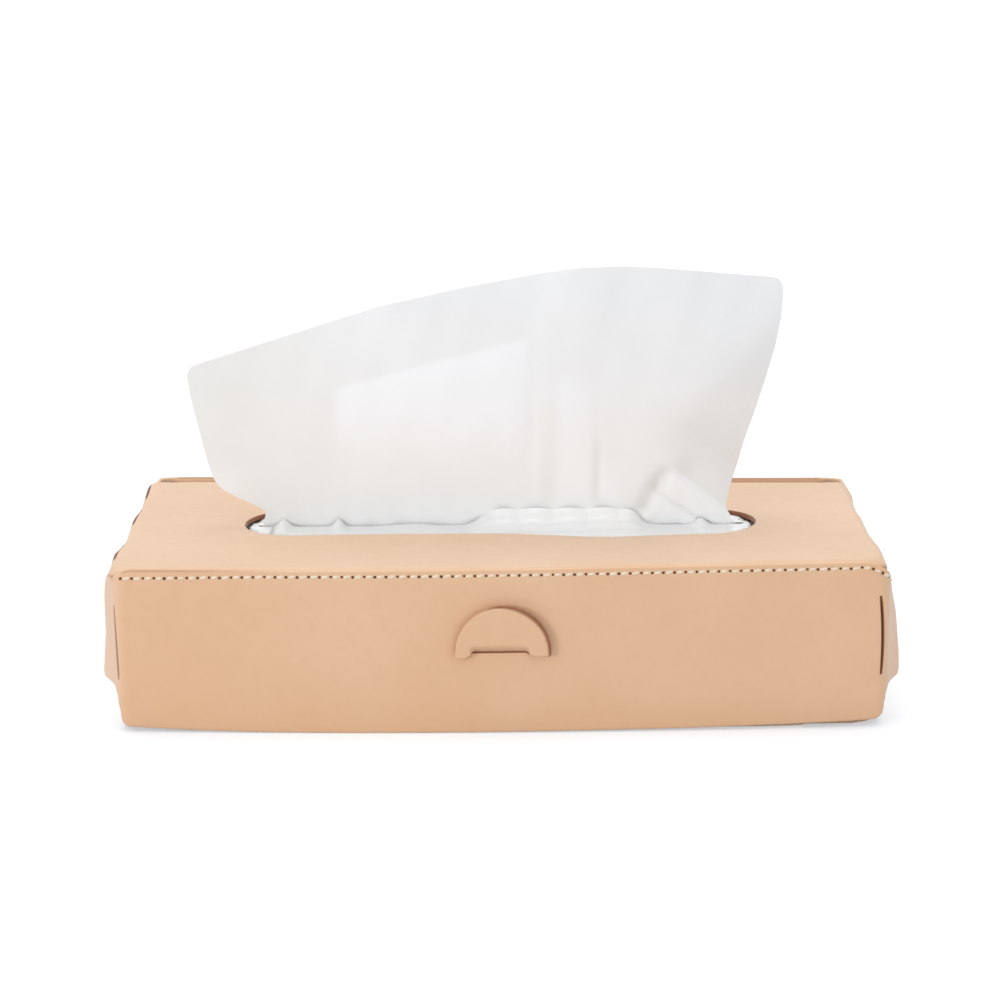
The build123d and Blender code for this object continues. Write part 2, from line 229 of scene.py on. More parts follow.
@dataclass(frozen=True)
class LeatherFinish(Finish):
    """Vegetable-tanned cowhide, undyed and hand-finished: nearly smooth, with fine pores and soft blotches.

    Its raw edges are burnished darker and redder, which an attribute of the mesh marks; on the tongue's rim
    and the front's top edge the same attribute also holds painted shade.
    """

    name: str = "veg_tanned_leather_painted_sheen"
    # These tones, used for the top and back, are paler and less saturated than the front's: painted sheen for
    # the grazing light on the top, in a second copy of the same leather.
    tone: str = "#DBB898"
    pale_tone: str = "#DEBD9F"
    deep_tone: str = "#D4AD89"
    edge_tone: str = "#864E2E"
    # Painted shade at the front's foot: browner and darker over its lowest band of millimetres.
    foot_shade_tone: str = "#CF9A68"
    # Painted highlight on the front's ears: paler and pinker beyond a place along the length.
    ear_highlight_tone: str = "#F0DFD7"
    foot_shade_band: float = 13.0
    ear_highlight_from: float = 125.5
    ear_highlight_band: float = 3.0
    blotch: float = 38.0
    mottle: float = 4.0
    grain: float = 0.8
    pore: float = 1.6
    grain_depth: float = 0.05
    roughness: float = 0.5
    rough_spread: float = 0.06
    foot_shade_share: float = 0.0
    ear_highlight_share: float = 0.0

    def inputs(self, tree: Tree) -> dict[str, Any]:
        """Blotches, mottle, rubbed edges and pores, and for a front a painted shade at its foot and a painted
        highlight on its ears.

        Args:
            tree: The material's tree.

        Returns:
            The shader's inputs.
        """
        place = add_node(tree, "ShaderNodeTexCoord", out="Object")
        edge = add_node(
            tree, "ShaderNodeAttribute", (), "Fac", attribute_name="edge", attribute_type="GEOMETRY"
        )
        spans = [
            ((felt(tree, self.blotch), 0.35, 0.7, 0.0, 1.0), self.pale_tone),
            ((felt(tree, self.mottle, 5.0, 0.4), 0.5, 0.85, 0.0, 0.3), self.deep_tone),
        ]
        if self.foot_shade_share > 0:
            parts = add_node(tree, "ShaderNodeSeparateXYZ", [place]).outputs
            far = add_node(tree, "ShaderNodeMath", [parts["X"]], "Value", operation="ABSOLUTE")
            ear_highlight_start, ear_highlight_full = self.ear_highlight_from * MM, (self.ear_highlight_from + self.ear_highlight_band) * MM
            # Painted shade, browner towards the front's foot.
            spans.append(((parts["Z"], 0.0, self.foot_shade_band * MM, self.foot_shade_share, 0.0), self.foot_shade_tone))
            # Painted highlight on the ears, where they face the light from the side.
            spans.append(((far, ear_highlight_start, ear_highlight_full, 0.0, self.ear_highlight_share), self.ear_highlight_tone))
        spans.append(((edge, 0.15, 0.85, 0.0, 0.92), self.edge_tone))
        layers = [(add_node(tree, "ShaderNodeMapRange", span, "Result"), shade) for span, shade in spans]
        least, most = self.roughness - self.rough_spread, self.roughness + self.rough_spread
        wear = [felt(tree, self.mottle, 3.0, 0.9), 0.3, 0.7, least, most]
        voronoi = {"Vector": place, "Scale": 1 / (self.pore * MM), "Randomness": 1.0}
        pores = add_node(tree, "ShaderNodeTexVoronoi", voronoi, "Distance")
        pits = add_node(tree, "ShaderNodeMapRange", [pores, 0.0, 0.22, 0.0, 1.0], "Result")
        fine = felt(tree, self.grain, 4.0, 1.3)
        height = add_node(tree, "ShaderNodeMath", [fine, pits], "Value", operation="ADD")
        relief = {"Height": height, "Strength": 0.35, "Distance": self.grain_depth * MM}
        return {
            "Base Color": shaded(tree, self.tone, layers),
            "Roughness": add_node(tree, "ShaderNodeMapRange", wear, "Result"),
            "Normal": add_node(tree, "ShaderNodeBump", relief, "Normal"),
            "Specular IOR Level": 0.35,
            "Sheen Weight": 0.12,
            "Sheen Roughness": 0.5,
        }


@dataclass(frozen=True)
class FleckedFinish(Finish):
    """A matt material with a fine fleck of a second shade, which may also be its relief."""

    tone: str
    shade: str
    fleck: float
    detail: float
    band: Size
    roughness: float
    relief: Optional[Point] = None

    def inputs(self, tree: Tree) -> dict[str, Any]:
        """The fleck, as colour and as relief.

        Args:
            tree: The material's tree.

        Returns:
            The shader's inputs.
        """
        start, full, most = self.band
        span = [felt(tree, self.fleck, self.detail), start, full, 0.0, most]
        share = add_node(tree, "ShaderNodeMapRange", span, "Result")
        made = {"Base Color": shaded(tree, self.tone, [(share, self.shade)]), "Roughness": self.roughness}
        if self.relief:
            bump = {"Height": share, "Strength": self.relief[0], "Distance": self.relief[1] * MM}
            made["Normal"] = add_node(tree, "ShaderNodeBump", bump, "Normal")
        return made


# Waxed linen thread: cream, with a soft shine from the wax and a twist of fine strands.
THREAD = FleckedFinish(
    "waxed_linen_thread", "#F2E2CB", "#D8BD9A", 0.5, 2.0, (0.4, 0.65, 0.6), 0.55, (0.5, 0.1)
)
# The pricked holes of the seam: darkened, waxed leather in the shade of the thread.
AWL_HOLE = FleckedFinish("pricked_leather_hole", "#7A4A2C", "#54301B", 0.6, 2.0, (0.35, 0.65, 1.0), 0.75)
# Uncoated carton board: off-white, calendered smooth, with a faint fibre fleck.
BOARD = FleckedFinish("carton_board", "#E9E7E1", "#D9D5CB", 1.2, 4.0, (0.5, 0.75, 0.35), 0.7, (0.15, 0.05))


@dataclass(frozen=True)
class TissueFinish(Finish):
    """Two-ply facial tissue: soft, matt and slightly see-through, with a fine random felt of fibres.

    An attribute of the mesh holds painted shade, greyer at the creases' turns, on the flank and the left
    third, and painted highlight where it is lighter.
    """

    name: str = "facial_tissue"
    tone: str = "#F7F9FB"
    # The next colour is mixed in where the mesh paints shade.
    shade: str = "#D3CFC6"
    cloud: float = 22.0
    fibre: float = 0.7

    def inputs(self, tree: Tree) -> dict[str, Any]:
        """Clouds and the mesh's painted shade and highlight, with fibres as relief.

        Args:
            tree: The material's tree.

        Returns:
            The shader's inputs.
        """
        span = [felt(tree, self.cloud, 2.0), 0.3, 0.7, -0.04, 0.04]
        clouds = add_node(tree, "ShaderNodeMapRange", span, "Result")
        fold = add_node(
            tree, "ShaderNodeAttribute", (), "Fac", attribute_name="fold", attribute_type="GEOMETRY"
        )
        share = add_node(tree, "ShaderNodeMath", [clouds, fold], "Value", operation="ADD")
        fibres = {"Height": felt(tree, self.fibre, 3.0, 0.2), "Strength": 0.2, "Distance": 0.06 * MM}
        return {
            "Base Color": shaded(tree, self.tone, [(share, self.shade)]),
            "Roughness": 0.9,
            "Specular IOR Level": 0.15,
            "Sheen Weight": 0.15,
            "Normal": add_node(tree, "ShaderNodeBump", fibres, "Normal"),
        }


@dataclass(frozen=True)
class FilmFinish(Finish):
    """Thin clear polythene film: glossy, milky where an attribute says that it is drawn up or doubled, and
    with painted glints and painted shade from the same attribute.
    """

    name: str = "polythene_film"
    tone: str = "#FBFCFC"
    dent: float = 11.0
    cover: float = 0.92
    clear: float = 0.1

    def inputs(self, tree: Tree) -> dict[str, Any]:
        """Milkiness from the mesh, with its painted glints and painted shade, and soft dents.

        Args:
            tree: The material's tree.

        Returns:
            The shader's inputs.
        """
        fold = add_node(
            tree, "ShaderNodeAttribute", (), "Fac", attribute_name="fold", attribute_type="GEOMETRY"
        )
        dents = {"Height": felt(tree, self.dent), "Strength": 0.3, "Distance": 0.3 * MM}
        return {
            "Alpha": add_node(tree, "ShaderNodeMapRange", [fold, 0.0, 1.0, self.clear, self.cover], "Result"),
            "Base Color": linear(self.tone),
            "Roughness": 0.14,
            "Specular IOR Level": 0.8,
            "Normal": add_node(tree, "ShaderNodeBump", dents, "Normal"),
        }


@dataclass(frozen=True)
class FloorFinish(Finish):
    """Matt white paper: pale, and lifted to white where the camera sees it, with the shadow kept."""

    name: str = "matt_white_floor"
    tone: str = "#D2D8DF"
    glow: float = 0.415

    def inputs(self, tree: Tree) -> dict[str, Any]:
        """A dull surface that glows to the camera alone.

        Args:
            tree: The material's tree.

        Returns:
            The shader's inputs.
        """
        seen = add_node(tree, "ShaderNodeLightPath", out="Is Camera Ray")
        return {
            "Base Color": linear(self.tone),
            "Roughness": 0.9,
            "Specular IOR Level": 0.0,
            "Emission Strength": add_node(
                tree, "ShaderNodeMath", [seen, self.glow], "Value", operation="MULTIPLY"
            ),
            "Emission Color": (1, 1, 1, 1),
        }


def line(start: Point, stop: Point, spacing: float = 1.6) -> list[Point]:
    """Points along a straight cut, without its end.

    Args:
        start: First point.
        stop: The point that it leads to.
        spacing: Largest distance between points.

    Returns:
        The points.
    """
    count = max(1, math.ceil(math.dist(start, stop) / spacing))
    steps = np.arange(count) / count
    return [(start[0] + t * (stop[0] - start[0]), start[1] + t * (stop[1] - start[1])) for t in steps]


def arc(centre: Point, radius: float, start: float, stop: float, count: int = 9) -> list[Point]:
    """Points along a round cut, with both ends.

    Args:
        centre: The arc's centre.
        radius: Its radius.
        start: Start angle in degrees, from +X.
        stop: End angle in degrees.
        count: Number of points.

    Returns:
        The points.
    """
    angles = np.radians(np.linspace(start, stop, count))
    return [(centre[0] + radius * math.cos(a), centre[1] + radius * math.sin(a)) for a in angles]


def path(*stops: Size) -> list[Point]:
    """Points along a run of straight cuts, without its end.

    Args:
        *stops: Each corner's place, and the largest distance between points on the way to the next.

    Returns:
        The points.
    """
    return [point for a, b in zip(stops, stops[1:]) for point in line(a[:2], b[:2], a[2])]


def corner(tip: Point, radius: float, start: float, stop: float, count: int) -> list[Point]:
    """Points along the arc that rounds off a square corner.

    Args:
        tip: Where the square corner would be.
        radius: The arc's radius.
        start: Start angle in degrees, from +X.
        stop: End angle in degrees, a quarter turn away.
        count: Number of points.

    Returns:
        The points.
    """
    middle = math.radians((start + stop) / 2)
    back = math.copysign(radius, math.cos(middle)), math.copysign(radius, math.sin(middle))
    return arc((tip[0] - back[0], tip[1] - back[1]), radius, start, stop, count)


def spread(*spans: Size, both: tuple[Size, ...] = ()) -> Array:
    """Places in steps along spans of a flat pattern.

    Args:
        *spans: Start, end and step of each span.
        both: Spans that lie on both sides.

    Returns:
        The places.
    """
    sides = [sign * np.arange(*span) for span in both for sign in (1, -1)]
    return np.concatenate([np.arange(*span) for span in spans] + sides)


def mirrored(points: list[Point]) -> list[Point]:
    """The same cut on the left side, in reversed order."""
    return [(-u, v) for u, v in reversed(points)]


def lens(centre: Point, length: float, width: float, lean: float = 0.0, bow: float = 0.0) -> list[Point]:
    """A closed slit that tapers at both ends, standing along V.

    Args:
        centre: Middle of the slit.
        length: Its length.
        width: Its width in the middle.
        lean: How far its lower end stands to the right of its upper end.
        bow: How far its middle bows to the right.

    Returns:
        The slit's outline.
    """
    steps = np.linspace(-1, 1, 13)
    halves = 0.5 * width * np.sqrt(np.clip(1 - steps**2, 0, None)) + 0.08
    middles = centre[0] - steps * lean / 2 + bow * (1 - steps**2)
    heights = centre[1] + steps * length / 2
    right = list(zip(middles + halves, heights))
    left = list(zip(middles - halves, heights))
    return [(float(u), float(v)) for u, v in right + left[::-1]]


def inside(points: Array, loops: list[Array]) -> Array:
    """Tests points against an outline and its holes by the even-odd rule.

    Args:
        points: N by 2 array.
        loops: Closed loops of points.

    Returns:
        A mask of the points that lie in the material.
    """
    odd = np.zeros(len(points), bool)
    x, y = points[:, :1], points[:, 1:]
    for loop in loops:
        x0, y0 = loop[:, 0], loop[:, 1]
        x1, y1 = np.roll(x0, -1), np.roll(y0, -1)
        crosses = (y0 > y) != (y1 > y)
        slope = np.where(y1 == y0, 1.0, y1 - y0)
        odd ^= (crosses & (x < (x1 - x0) * (y - y0) / slope + x0)).sum(1) % 2 == 1
    return odd


def clearance(points: Array, loops: list[Array]) -> Array:
    """Distance from each point to the nearest cut.

    Args:
        points: N by 2 array.
        loops: Closed loops of points.

    Returns:
        N distances.
    """
    best = np.full(len(points), np.inf)
    for loop in loops:
        along = np.roll(loop, -1, 0) - loop
        length = np.maximum((along**2).sum(1), 1e-12)
        offset = points[:, None, :] - loop[None]
        t = np.clip((offset * along[None]).sum(2) / length, 0, 1)
        gap = np.linalg.norm(offset - t[..., None] * along[None], axis=2)
        best = np.minimum(best, gap.min(1))
    return best


def outward_of(loop: Array) -> Array:
    """Mitred directions that point out of the material at each corner of a loop.

    Args:
        loop: A loop that runs anticlockwise round an outline, or clockwise round a hole.

    Returns:
        N directions, at most twice unit length.
    """
    after = np.roll(loop, -1, 0) - loop
    before = loop - np.roll(loop, 1, 0)
    normals = []
    for step in (before, after):
        normal = np.stack([step[:, 1], -step[:, 0]], 1)
        normals.append(normal / np.maximum(np.linalg.norm(normal, axis=1, keepdims=True), 1e-9))
    total = normals[0] + normals[1]
    return total / np.maximum((total**2).sum(1, keepdims=True) / 2, 0.5)


def mesh_object(
    name: str,
    vertices: Array,
    faces: list[tuple[int, ...]],
    mark: Optional[Array] = None,
    marked: str = "edge",
) -> Any:
    """Makes a closed, smooth object in metres from points in millimetres.

    Args:
        name: Name of the object.
        vertices: N by 3 array in millimetres.
        faces: Corner numbers of each face.
        mark: A value for each vertex that its material reads.
        marked: Name of that attribute.

    Returns:
        The object, linked to the scene.
    """
    mesh = bpy.data.meshes.new(name)
    mesh.from_pydata((np.asarray(vertices) * MM).tolist(), [], faces)
    if mark is not None:
        mesh.attributes.new(marked, "FLOAT", "POINT").data.foreach_set("value", mark.astype(np.float32))
    work = bmesh.new()
    work.from_mesh(mesh)
    bmesh.ops.remove_doubles(work, verts=work.verts, dist=1e-7)
    bmesh.ops.dissolve_degenerate(work, edges=work.edges, dist=1e-8)
    bmesh.ops.recalc_face_normals(work, faces=work.faces)
    work.to_mesh(mesh)
    work.free()
    mesh.shade_smooth()
    mesh.set_sharp_from_angle(angle=math.radians(50))
    made = bpy.data.objects.new(name, mesh)
    bpy.context.scene.collection.objects.link(made)
    return made


@dataclass
class CutLeather:
    """One piece of leather, cut flat and folded into place.

    The flat pattern is in millimetres. Its fold gives the place of the shown face for points of the pattern.
    """

    outline: list[Point]
    fold: Places
    columns: Array
    rows: Array
    holes: list[list[Point]] = field(default_factory=list)
    thickness: float = LEATHER
    edge_shade: float = 0.2
    rounding: float = 0.45
    guard: float = 0.8
    joint_row: Optional[float] = None
    outward: float = 1.0
    # The next callable scales how dark the raw edges are, and on the front's top edge and the tongue's rim
    # also paints shade; the one after adds painted shadow to the edge mark.
    burnish_and_shade: Optional[Places] = None
    painted_shade: Optional[Places] = None

    def place(self, points: Array, depth: Array) -> Array:
        """Folds points of the pattern, sunk below the shown face.

        Args:
            points: N by 2 array.
            depth: N depths below the shown face.

        Returns:
            N by 3 array of places.
        """
        small = 0.03
        u, v = points[:, 0], points[:, 1]
        across = self.fold(u + small, v) - self.fold(u - small, v)
        along = self.fold(u, v + small) - self.fold(u, v - small)
        normal = np.cross(across, along) * self.outward
        normal /= np.maximum(np.linalg.norm(normal, axis=1, keepdims=True), 1e-12)
        return self.fold(u, v) - normal * depth[:, None]

    def loops(self) -> list[Array]:
        """Puts the cuts in order, without doubled points.

        Returns:
            The outline anticlockwise, and the holes clockwise.
        """
        turned = []
        for number, loop in enumerate([self.outline, *self.holes]):
            points = np.array(loop, float)
            points = points[np.linalg.norm(points - np.roll(points, 1, 0), axis=1) > 0.05]
            x, y = points[:, 0], points[:, 1]
            area = (x * np.roll(y, -1) - np.roll(x, -1) * y).sum()
            turned.append(points if (area > 0) == (number == 0) else points[::-1])
        return turned

    def build(self, name: str) -> Any:
        """Cuts, folds and rounds the edges of the piece.

        Args:
            name: Name of the object.

        Returns:
            The object.
        """
        cuts = self.loops()
        ways = [outward_of(loop) for loop in cuts]
        rounds = []
        for loop in cuts:
            free = self.joint_row is None or np.abs(loop[:, 1] - self.joint_row) >= 1e-6
            rounds.append(np.where(free, self.rounding, np.zeros(len(loop))))
        inner = [loop - way * r[:, None] for loop, way, r in zip(cuts, ways, rounds)]
        guards = np.vstack([loop - way * (self.rounding + self.guard) for loop, way in zip(cuts, ways)])
        grid = np.array([(u, v) for u in self.columns for v in self.rows], float)
        guards = guards[inside(guards, inner) & (clearance(guards, inner) > 0.7 * self.guard)]
        grid = grid[inside(grid, inner) & (clearance(grid, inner) > 1.5 * self.guard)]
        flat = np.vstack([*inner, guards, grid])
        cut_edges, first = [], 0
        for loop in inner:
            count = len(loop)
            cut_edges += [(first + i, first + (i + 1) % count) for i in range(count)]
            first += count
        found, _, faces, origin, _, _ = delaunay_2d_cdt(
            [Vector(p) for p in flat.tolist()], cut_edges, [], 0, 1e-6
        )
        back = [source[0] if source else -1 for source in origin]
        centres = np.array([np.mean([found[i][:] for i in face], axis=0) for face in faces])
        kept = inside(centres, inner)
        triangles = [tuple(back[i] for i in face) for face, keep in zip(faces, kept) if keep]
        count = len(flat)
        levels = [(flat, np.zeros(count)), (flat, np.full(count, self.thickness))]
        shown = np.zeros(count)
        for r, first in zip(rounds, np.cumsum([0] + [len(c) for c in cuts[:-1]])):
            shown[first : first + len(r)] = np.where(r > 0, self.edge_shade, 0.0)
        marks = [shown, shown]
        all_faces = list(triangles) + [tuple(i + count for i in face[::-1]) for face in triangles]
        offset, start = 2 * count, 0
        turns = np.radians([30, 60, 90])
        for loop, way, r in zip(cuts, ways, rounds):
            size = len(loop)
            ring_numbers = [np.arange(start, start + size)]
            upper = [(loop - way * (r * (1 - math.sin(a)))[:, None], r * (1 - math.cos(a))) for a in turns]
            rings = upper + [(place, self.thickness - deep) for place, deep in upper[::-1]]
            for place, deep in rings:
                levels.append((place, deep))
                marks.append(np.where(r > 0, 1.0, 0.0))
                ring_numbers.append(np.arange(offset, offset + size))
                offset += size
            ring_numbers.append(np.arange(start, start + size) + count)
            for high, low in zip(ring_numbers, ring_numbers[1:]):
                for i in range(size):
                    j = (i + 1) % size
                    all_faces.append((int(high[i]), int(low[i]), int(low[j]), int(high[j])))
            start += size
        points = np.vstack([place for place, _ in levels])
        depths = np.concatenate([deep for _, deep in levels])
        edge = np.concatenate(marks)
        # Edge darkness, with painted shade and painted shadow where the callables add them.
        if self.burnish_and_shade is not None:
            edge = edge * self.burnish_and_shade(points[:, 0], points[:, 1])
        if self.painted_shade is not None:
            edge = edge + self.painted_shade(points[:, 0], points[:, 1])
        return mesh_object(name, self.place(points, depths), all_faces, edge)


def thin_shell(
    name: str, surface: Array, thickness: float, closed: bool = False, fold: Optional[Array] = None
) -> Any:
    """Gives a grid of points a thickness and closes its rim.

    Args:
        name: Name of the object.
        surface: Rows by columns by 3 array in millimetres, the middle of the sheet.
        thickness: Thickness of the sheet.
        closed: Whether the last column meets the first.
        fold: Rows by columns array for the fold attribute.

    Returns:
        The object.
    """
    rows, columns = surface.shape[:2]
    if closed:
        across = np.roll(surface, -1, 1) - np.roll(surface, 1, 1)
    else:
        across = np.gradient(surface, axis=1)
    normal = np.cross(across, np.gradient(surface, axis=0))
    normal /= np.maximum(np.linalg.norm(normal, axis=2, keepdims=True), 1e-12)
    points = np.vstack([(surface + side * normal * thickness / 2).reshape(-1, 3) for side in (1, -1)])
    numbers = np.arange(rows * columns).reshape(rows, columns)
    if closed:
        numbers = np.hstack([numbers, numbers[:, :1]])
    a, b = numbers[:-1, :-1].ravel(), numbers[:-1, 1:].ravel()
    c, d = numbers[1:, 1:].ravel(), numbers[1:, :-1].ravel()
    far = rows * columns
    faces = list(zip(a.tolist(), b.tolist(), c.tolist(), d.tolist()))
    faces += [tuple(i + far for i in face[::-1]) for face in faces]
    rims = [numbers[0], numbers[-1]]
    if not closed:
        rims += [numbers[:, 0], numbers[:, -1]]
    for rim in rims:
        faces += [(int(i), int(j), int(j) + far, int(i) + far) for i, j in zip(rim, rim[1:])]
    marks = None if fold is None else np.tile(fold.ravel(), 2)
    return mesh_object(name, points, faces, marks, "fold")


def smooth(share: Array) -> Array:
    """A share from 0 to 1 with its ends eased."""
    return share * share * (3 - 2 * share)


def rolled(run: Array, radius: float) -> tuple[Array, Array]:
    """Turns of a run of leather round a fold, and what lies beyond the fold."""
    return np.clip(run / radius, 0, math.pi / 2), np.maximum(run - radius * math.pi / 2, 0)


def faint(u: Array, v: Array) -> Array:
    """A raw edge that is hardly darker than the face."""
    return np.full(len(u), 0.1)


def soft_step(distance: Array, soft: float) -> Array:
    """A smooth step from 0 to 1 as a distance turns positive, about twice soft wide on each side."""
    return 0.5 + 0.5 * np.tanh(distance / soft)


def window(x: Array, start: float, stop: float, soft: float, last: Optional[float] = None) -> Array:
    """Marks the places between two others.

    Args:
        x: Places.
        start: Where the window starts.
        stop: Where it ends.
        soft: How soft it starts.
        last: How soft it ends, or None for the same.

    Returns:
        Values from 0 outside to 1 inside.
    """
    return soft_step(x - start, soft) * soft_step(stop - x, last or soft)


def ridge(x: Array, centre: Array | float, width: float) -> Array:
    """A soft ridge of height 1 at a centre."""
    return np.exp(-(((x - centre) / width) ** 2))


def soft_table(x: Array, places: Table, values: Table, soft: float) -> Array:
    """Reads a table with its corners rounded.

    Args:
        x: Where it is read.
        places: The table's places.
        values: Its values.
        soft: Distance over which a corner is rounded.

    Returns:
        A value for each place.
    """
    shifts = np.linspace(-1.5, 1.5, 7)
    weights = np.exp(-(shifts**2))
    return sum(w * np.interp(x + s * soft, places, values) for s, w in zip(shifts, weights)) / weights.sum()


def dress(piece: Any, material: bpy.types.Material, slot: Slot, *nodes: str) -> Any:
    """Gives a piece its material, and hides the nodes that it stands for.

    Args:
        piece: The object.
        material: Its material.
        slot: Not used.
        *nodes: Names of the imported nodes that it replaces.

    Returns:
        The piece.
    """
    piece.data.materials.clear()
    piece.data.materials.append(material)
    if nodes:
        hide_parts(*nodes)
    log.info("%s: %d faces, %s", piece.name, len(piece.data.polygons), material.name)
    return piece


@dataclass
class LeatherCase:
    """The folded leather: top, front with ears, back with bottom, inner flap and tongue.

    In every flat pattern u runs along the case, and v up the front or towards the back, in millimetres.
    """

    sizes: CaseSizes
    finish: LeatherFinish
    front_finish: LeatherFinish
    bulge_top: float = 3.0
    bulge_low: float = 4.0
    corner_radius: float = 5.0
    ear_depth: float = 18.0
    left_flare: float = 19.4
    right_flare_top: float = 10.5
    right_flare_low: float = 17.5
    bottom_corner: float = 7.0
    back_bend: float = 9.0
    inner_radius: float = 2.4
    right_lift: float = 1.3
    back_left_lift: float = 1.0
    back_right_drop: float = 0.7
    joint_line: float = -53.5
    flange_half: float = 121.5
    flange_low: float = 44.0
    seam_drop: float = 1.8
    shoulder_drop: float = 22.0
    opening_half_length: float = 88.5
    opening_half_width: float = 18.5
    slit_length: float = 19.0
    left_slits: Table = (-33.0, 12.4, 47.0)
    right_slits: Table = (-38.5, 4.5, 46.0)
    left_places: Table = (-57, -50, -44, -38, -33, -28, -23, -18, -10, 0, 8, 14, 18, 22, 28, 38, 47, 55, 61)
    left_push: Table = (
        2.9, 2.8, 3.0, 3.5, 3.6, 2.7, 2.0, 1.5, 1.7, 2.1,
        2.4, 2.3, 1.9, 1.3, 1.2, 1.5, 1.9, 2.1, 1.5,
    )
    right_places: Table = (-57, -49, -43, -37, -33, -29, -22, -14, -6, 0, 5, 12, 19, 27, 34, 41, 47, 54, 60)
    right_push: Table = (
        -0.1, 0.0, 0.3, 0.55, 0.4, 0.0, -0.35, -0.6, -0.3, -0.25,
        0.0, -0.2, -0.4, 0.0, 0.35, 0.65, 0.75, 0.8, 0.6,
    )

    def __post_init__(self) -> None:
        """Works out the sizes that several pieces share."""
        flare = math.radians(self.left_flare)
        self.corner_x = self.sizes.ear_outer - self.corner_radius
        self.turn = self.corner_radius * (math.pi / 2 - flare - 0.0455)
        self.corner_end = self.corner_x + self.turn
        self.ear_end = self.corner_end + (self.ear_depth - self.corner_radius) / math.cos(flare)
        self.seam = self.sizes.panel_top - self.seam_drop
        self.end_fold = self.sizes.half_length - self.sizes.fold_radius
        self.under = self.sizes.half_length - LEATHER - 0.3

    def radius(self, bulge: Array | float) -> Array | float:
        """Radius of the front's curve in plan for a given bulge."""
        return (self.sizes.ear_outer**2 + bulge**2) / (2 * bulge)

    def front_edge(self, x: Array | float) -> Array | float:
        """The y of the top leather's front fold at x."""
        return self.sizes.top_front + x**2 / (2 * self.radius(self.bulge_top))

    def lift(self, x: Array, y: Array) -> Array:
        """How much higher the worn leather stands towards the right of the front.

        Args:
            x: Places along the length.
            y: Places along the depth.

        Returns:
            Heights to add.
        """
        right = np.clip((x + 60) / 190, 0, 1)
        front = np.clip((20 - y) / 80, 0, 1)
        back = np.clip((y - 5) / 55, 0, 1)
        tilt = np.clip(-x / 110, 0, 1) * self.back_left_lift - np.clip(x / 110, 0, 1) * self.back_right_drop
        return self.right_lift * smooth(right) * front + tilt * back

    def fold_front(self, u: Array, v: Array) -> Array:
        """Front leather: a bulging panel whose ears bend round the corners and stand off.

        Args:
            u: Places along the pattern.
            v: Places across it.

        Returns:
            N by 3 array of places.
        """
        side = np.where(u < 0, -1.0, 1.0)
        far = np.abs(u)
        height = np.clip(v / self.sizes.panel_top, 0, 1)
        bulge = self.bulge_low + (self.bulge_top - self.bulge_low) * height
        radius = self.radius(bulge)
        right_flare = self.right_flare_low + (self.right_flare_top - self.right_flare_low) * height
        first = self.corner_x / radius
        last = math.pi / 2 - np.radians(np.where(side < 0, self.left_flare, right_flare))
        bend = (last - first) / self.turn
        angle = first + (last - first) * np.clip((far - self.corner_x) / self.turn, 0, 1)
        flat = np.minimum(far, self.corner_x)
        rest = np.maximum(far - self.corner_end, 0)
        x = flat + (np.sin(angle) - np.sin(first)) / bend + rest * np.cos(last)
        y = self.sizes.panel_front + self.bulge_low - bulge + flat**2 / (2 * radius)
        y = y + (np.cos(first) - np.cos(angle)) / bend + rest * np.sin(last)
        left_curl = 0.013 * np.clip((30 - v) / 30, 0, 1)
        x = x + rest**2 * np.where(side < 0, left_curl, 0.01 * np.clip((50 - v) / 30, 0, 1))
        groove = 0.16 * ridge(v, self.seam, 0.8)
        swell = 0.35 * ridge(far, 60, 45) * np.sin(math.pi * height)
        y = y + np.where(far < self.corner_x, groove + swell, 0.0)
        x = side * x
        return np.stack([x, y, v + self.lift(x, y)], 1)

    def shoulder(self, inset: float) -> list[Point]:
        """The rounded top of the right ear, from the panel's top outwards, or a line inside it.

        Args:
            inset: Distance inside the edge.

        Returns:
            Points of the flat pattern.
        """
        start, top = self.corner_x - 4, self.sizes.panel_top - inset
        wide, high = self.ear_end - start - inset, self.shoulder_drop - inset
        turns = np.linspace(0, math.pi / 2, 30)
        return [(start + wide * math.sin(t) ** 1.43, top - high * (1 - math.cos(t) ** 1.43)) for t in turns]

    def ear(
        self, side: float, bend: float, low: float, notch: float, out: float, rise: float
    ) -> list[Point]:
        """The lower corner, the notch and the ear of one side, up to where its top begins.

        Args:
            side: The panel's half length at its foot.
            bend: Radius of the lower corner.
            low: Height of the ear's lower edge.
            notch: Radius of the notch under the ear.
            out: How far the notch stands outside the foot.
            rise: How high the foot's corner lies.

        Returns:
            Points of the flat pattern.
        """
        end = self.ear_end
        made = corner((side, rise), bend, -90, 0, 8)[1:]
        made += [(side, rise + bend + 0.8), (side + out, low - notch - 0.5)]
        made += corner((side + out, low), notch, 180, 90, 8)
        made += line((side + out + notch + 0.8, low), (end - 2.6, low)) + corner((end, low), 2.5, -90, 0, 6)
        return made + line((end, low + 3.3), (end, self.sizes.panel_top - self.shoulder_drop - 1))

    def front_burnish_and_shade(self, u: Array, v: Array) -> Array:
        """The front's raw edges: outer ones are worn pale, slits and slot are dark, and the top edge is pale
        but darkens towards the left as painted shade for the shadow line along the seam.

        Args:
            u: Places along the pattern.
            v: Places across it.

        Returns:
            How dark the edge is at each place.
        """
        top_edge = (v > self.sizes.panel_top - 0.7) & (u < self.corner_x)
        ear = (np.abs(u) > self.corner_end + 1) | (v > 46) | (v < 16)
        worn = np.where(ear, 0.15, np.where(u < -self.corner_x, 0.5, 1.0))
        # Painted shade: the top edge darkens towards the left, for the shadow line along the seam.
        return np.where(top_edge, 0.08 + 0.42 * np.clip((-u - 64) / 40, 0, 1), worn)

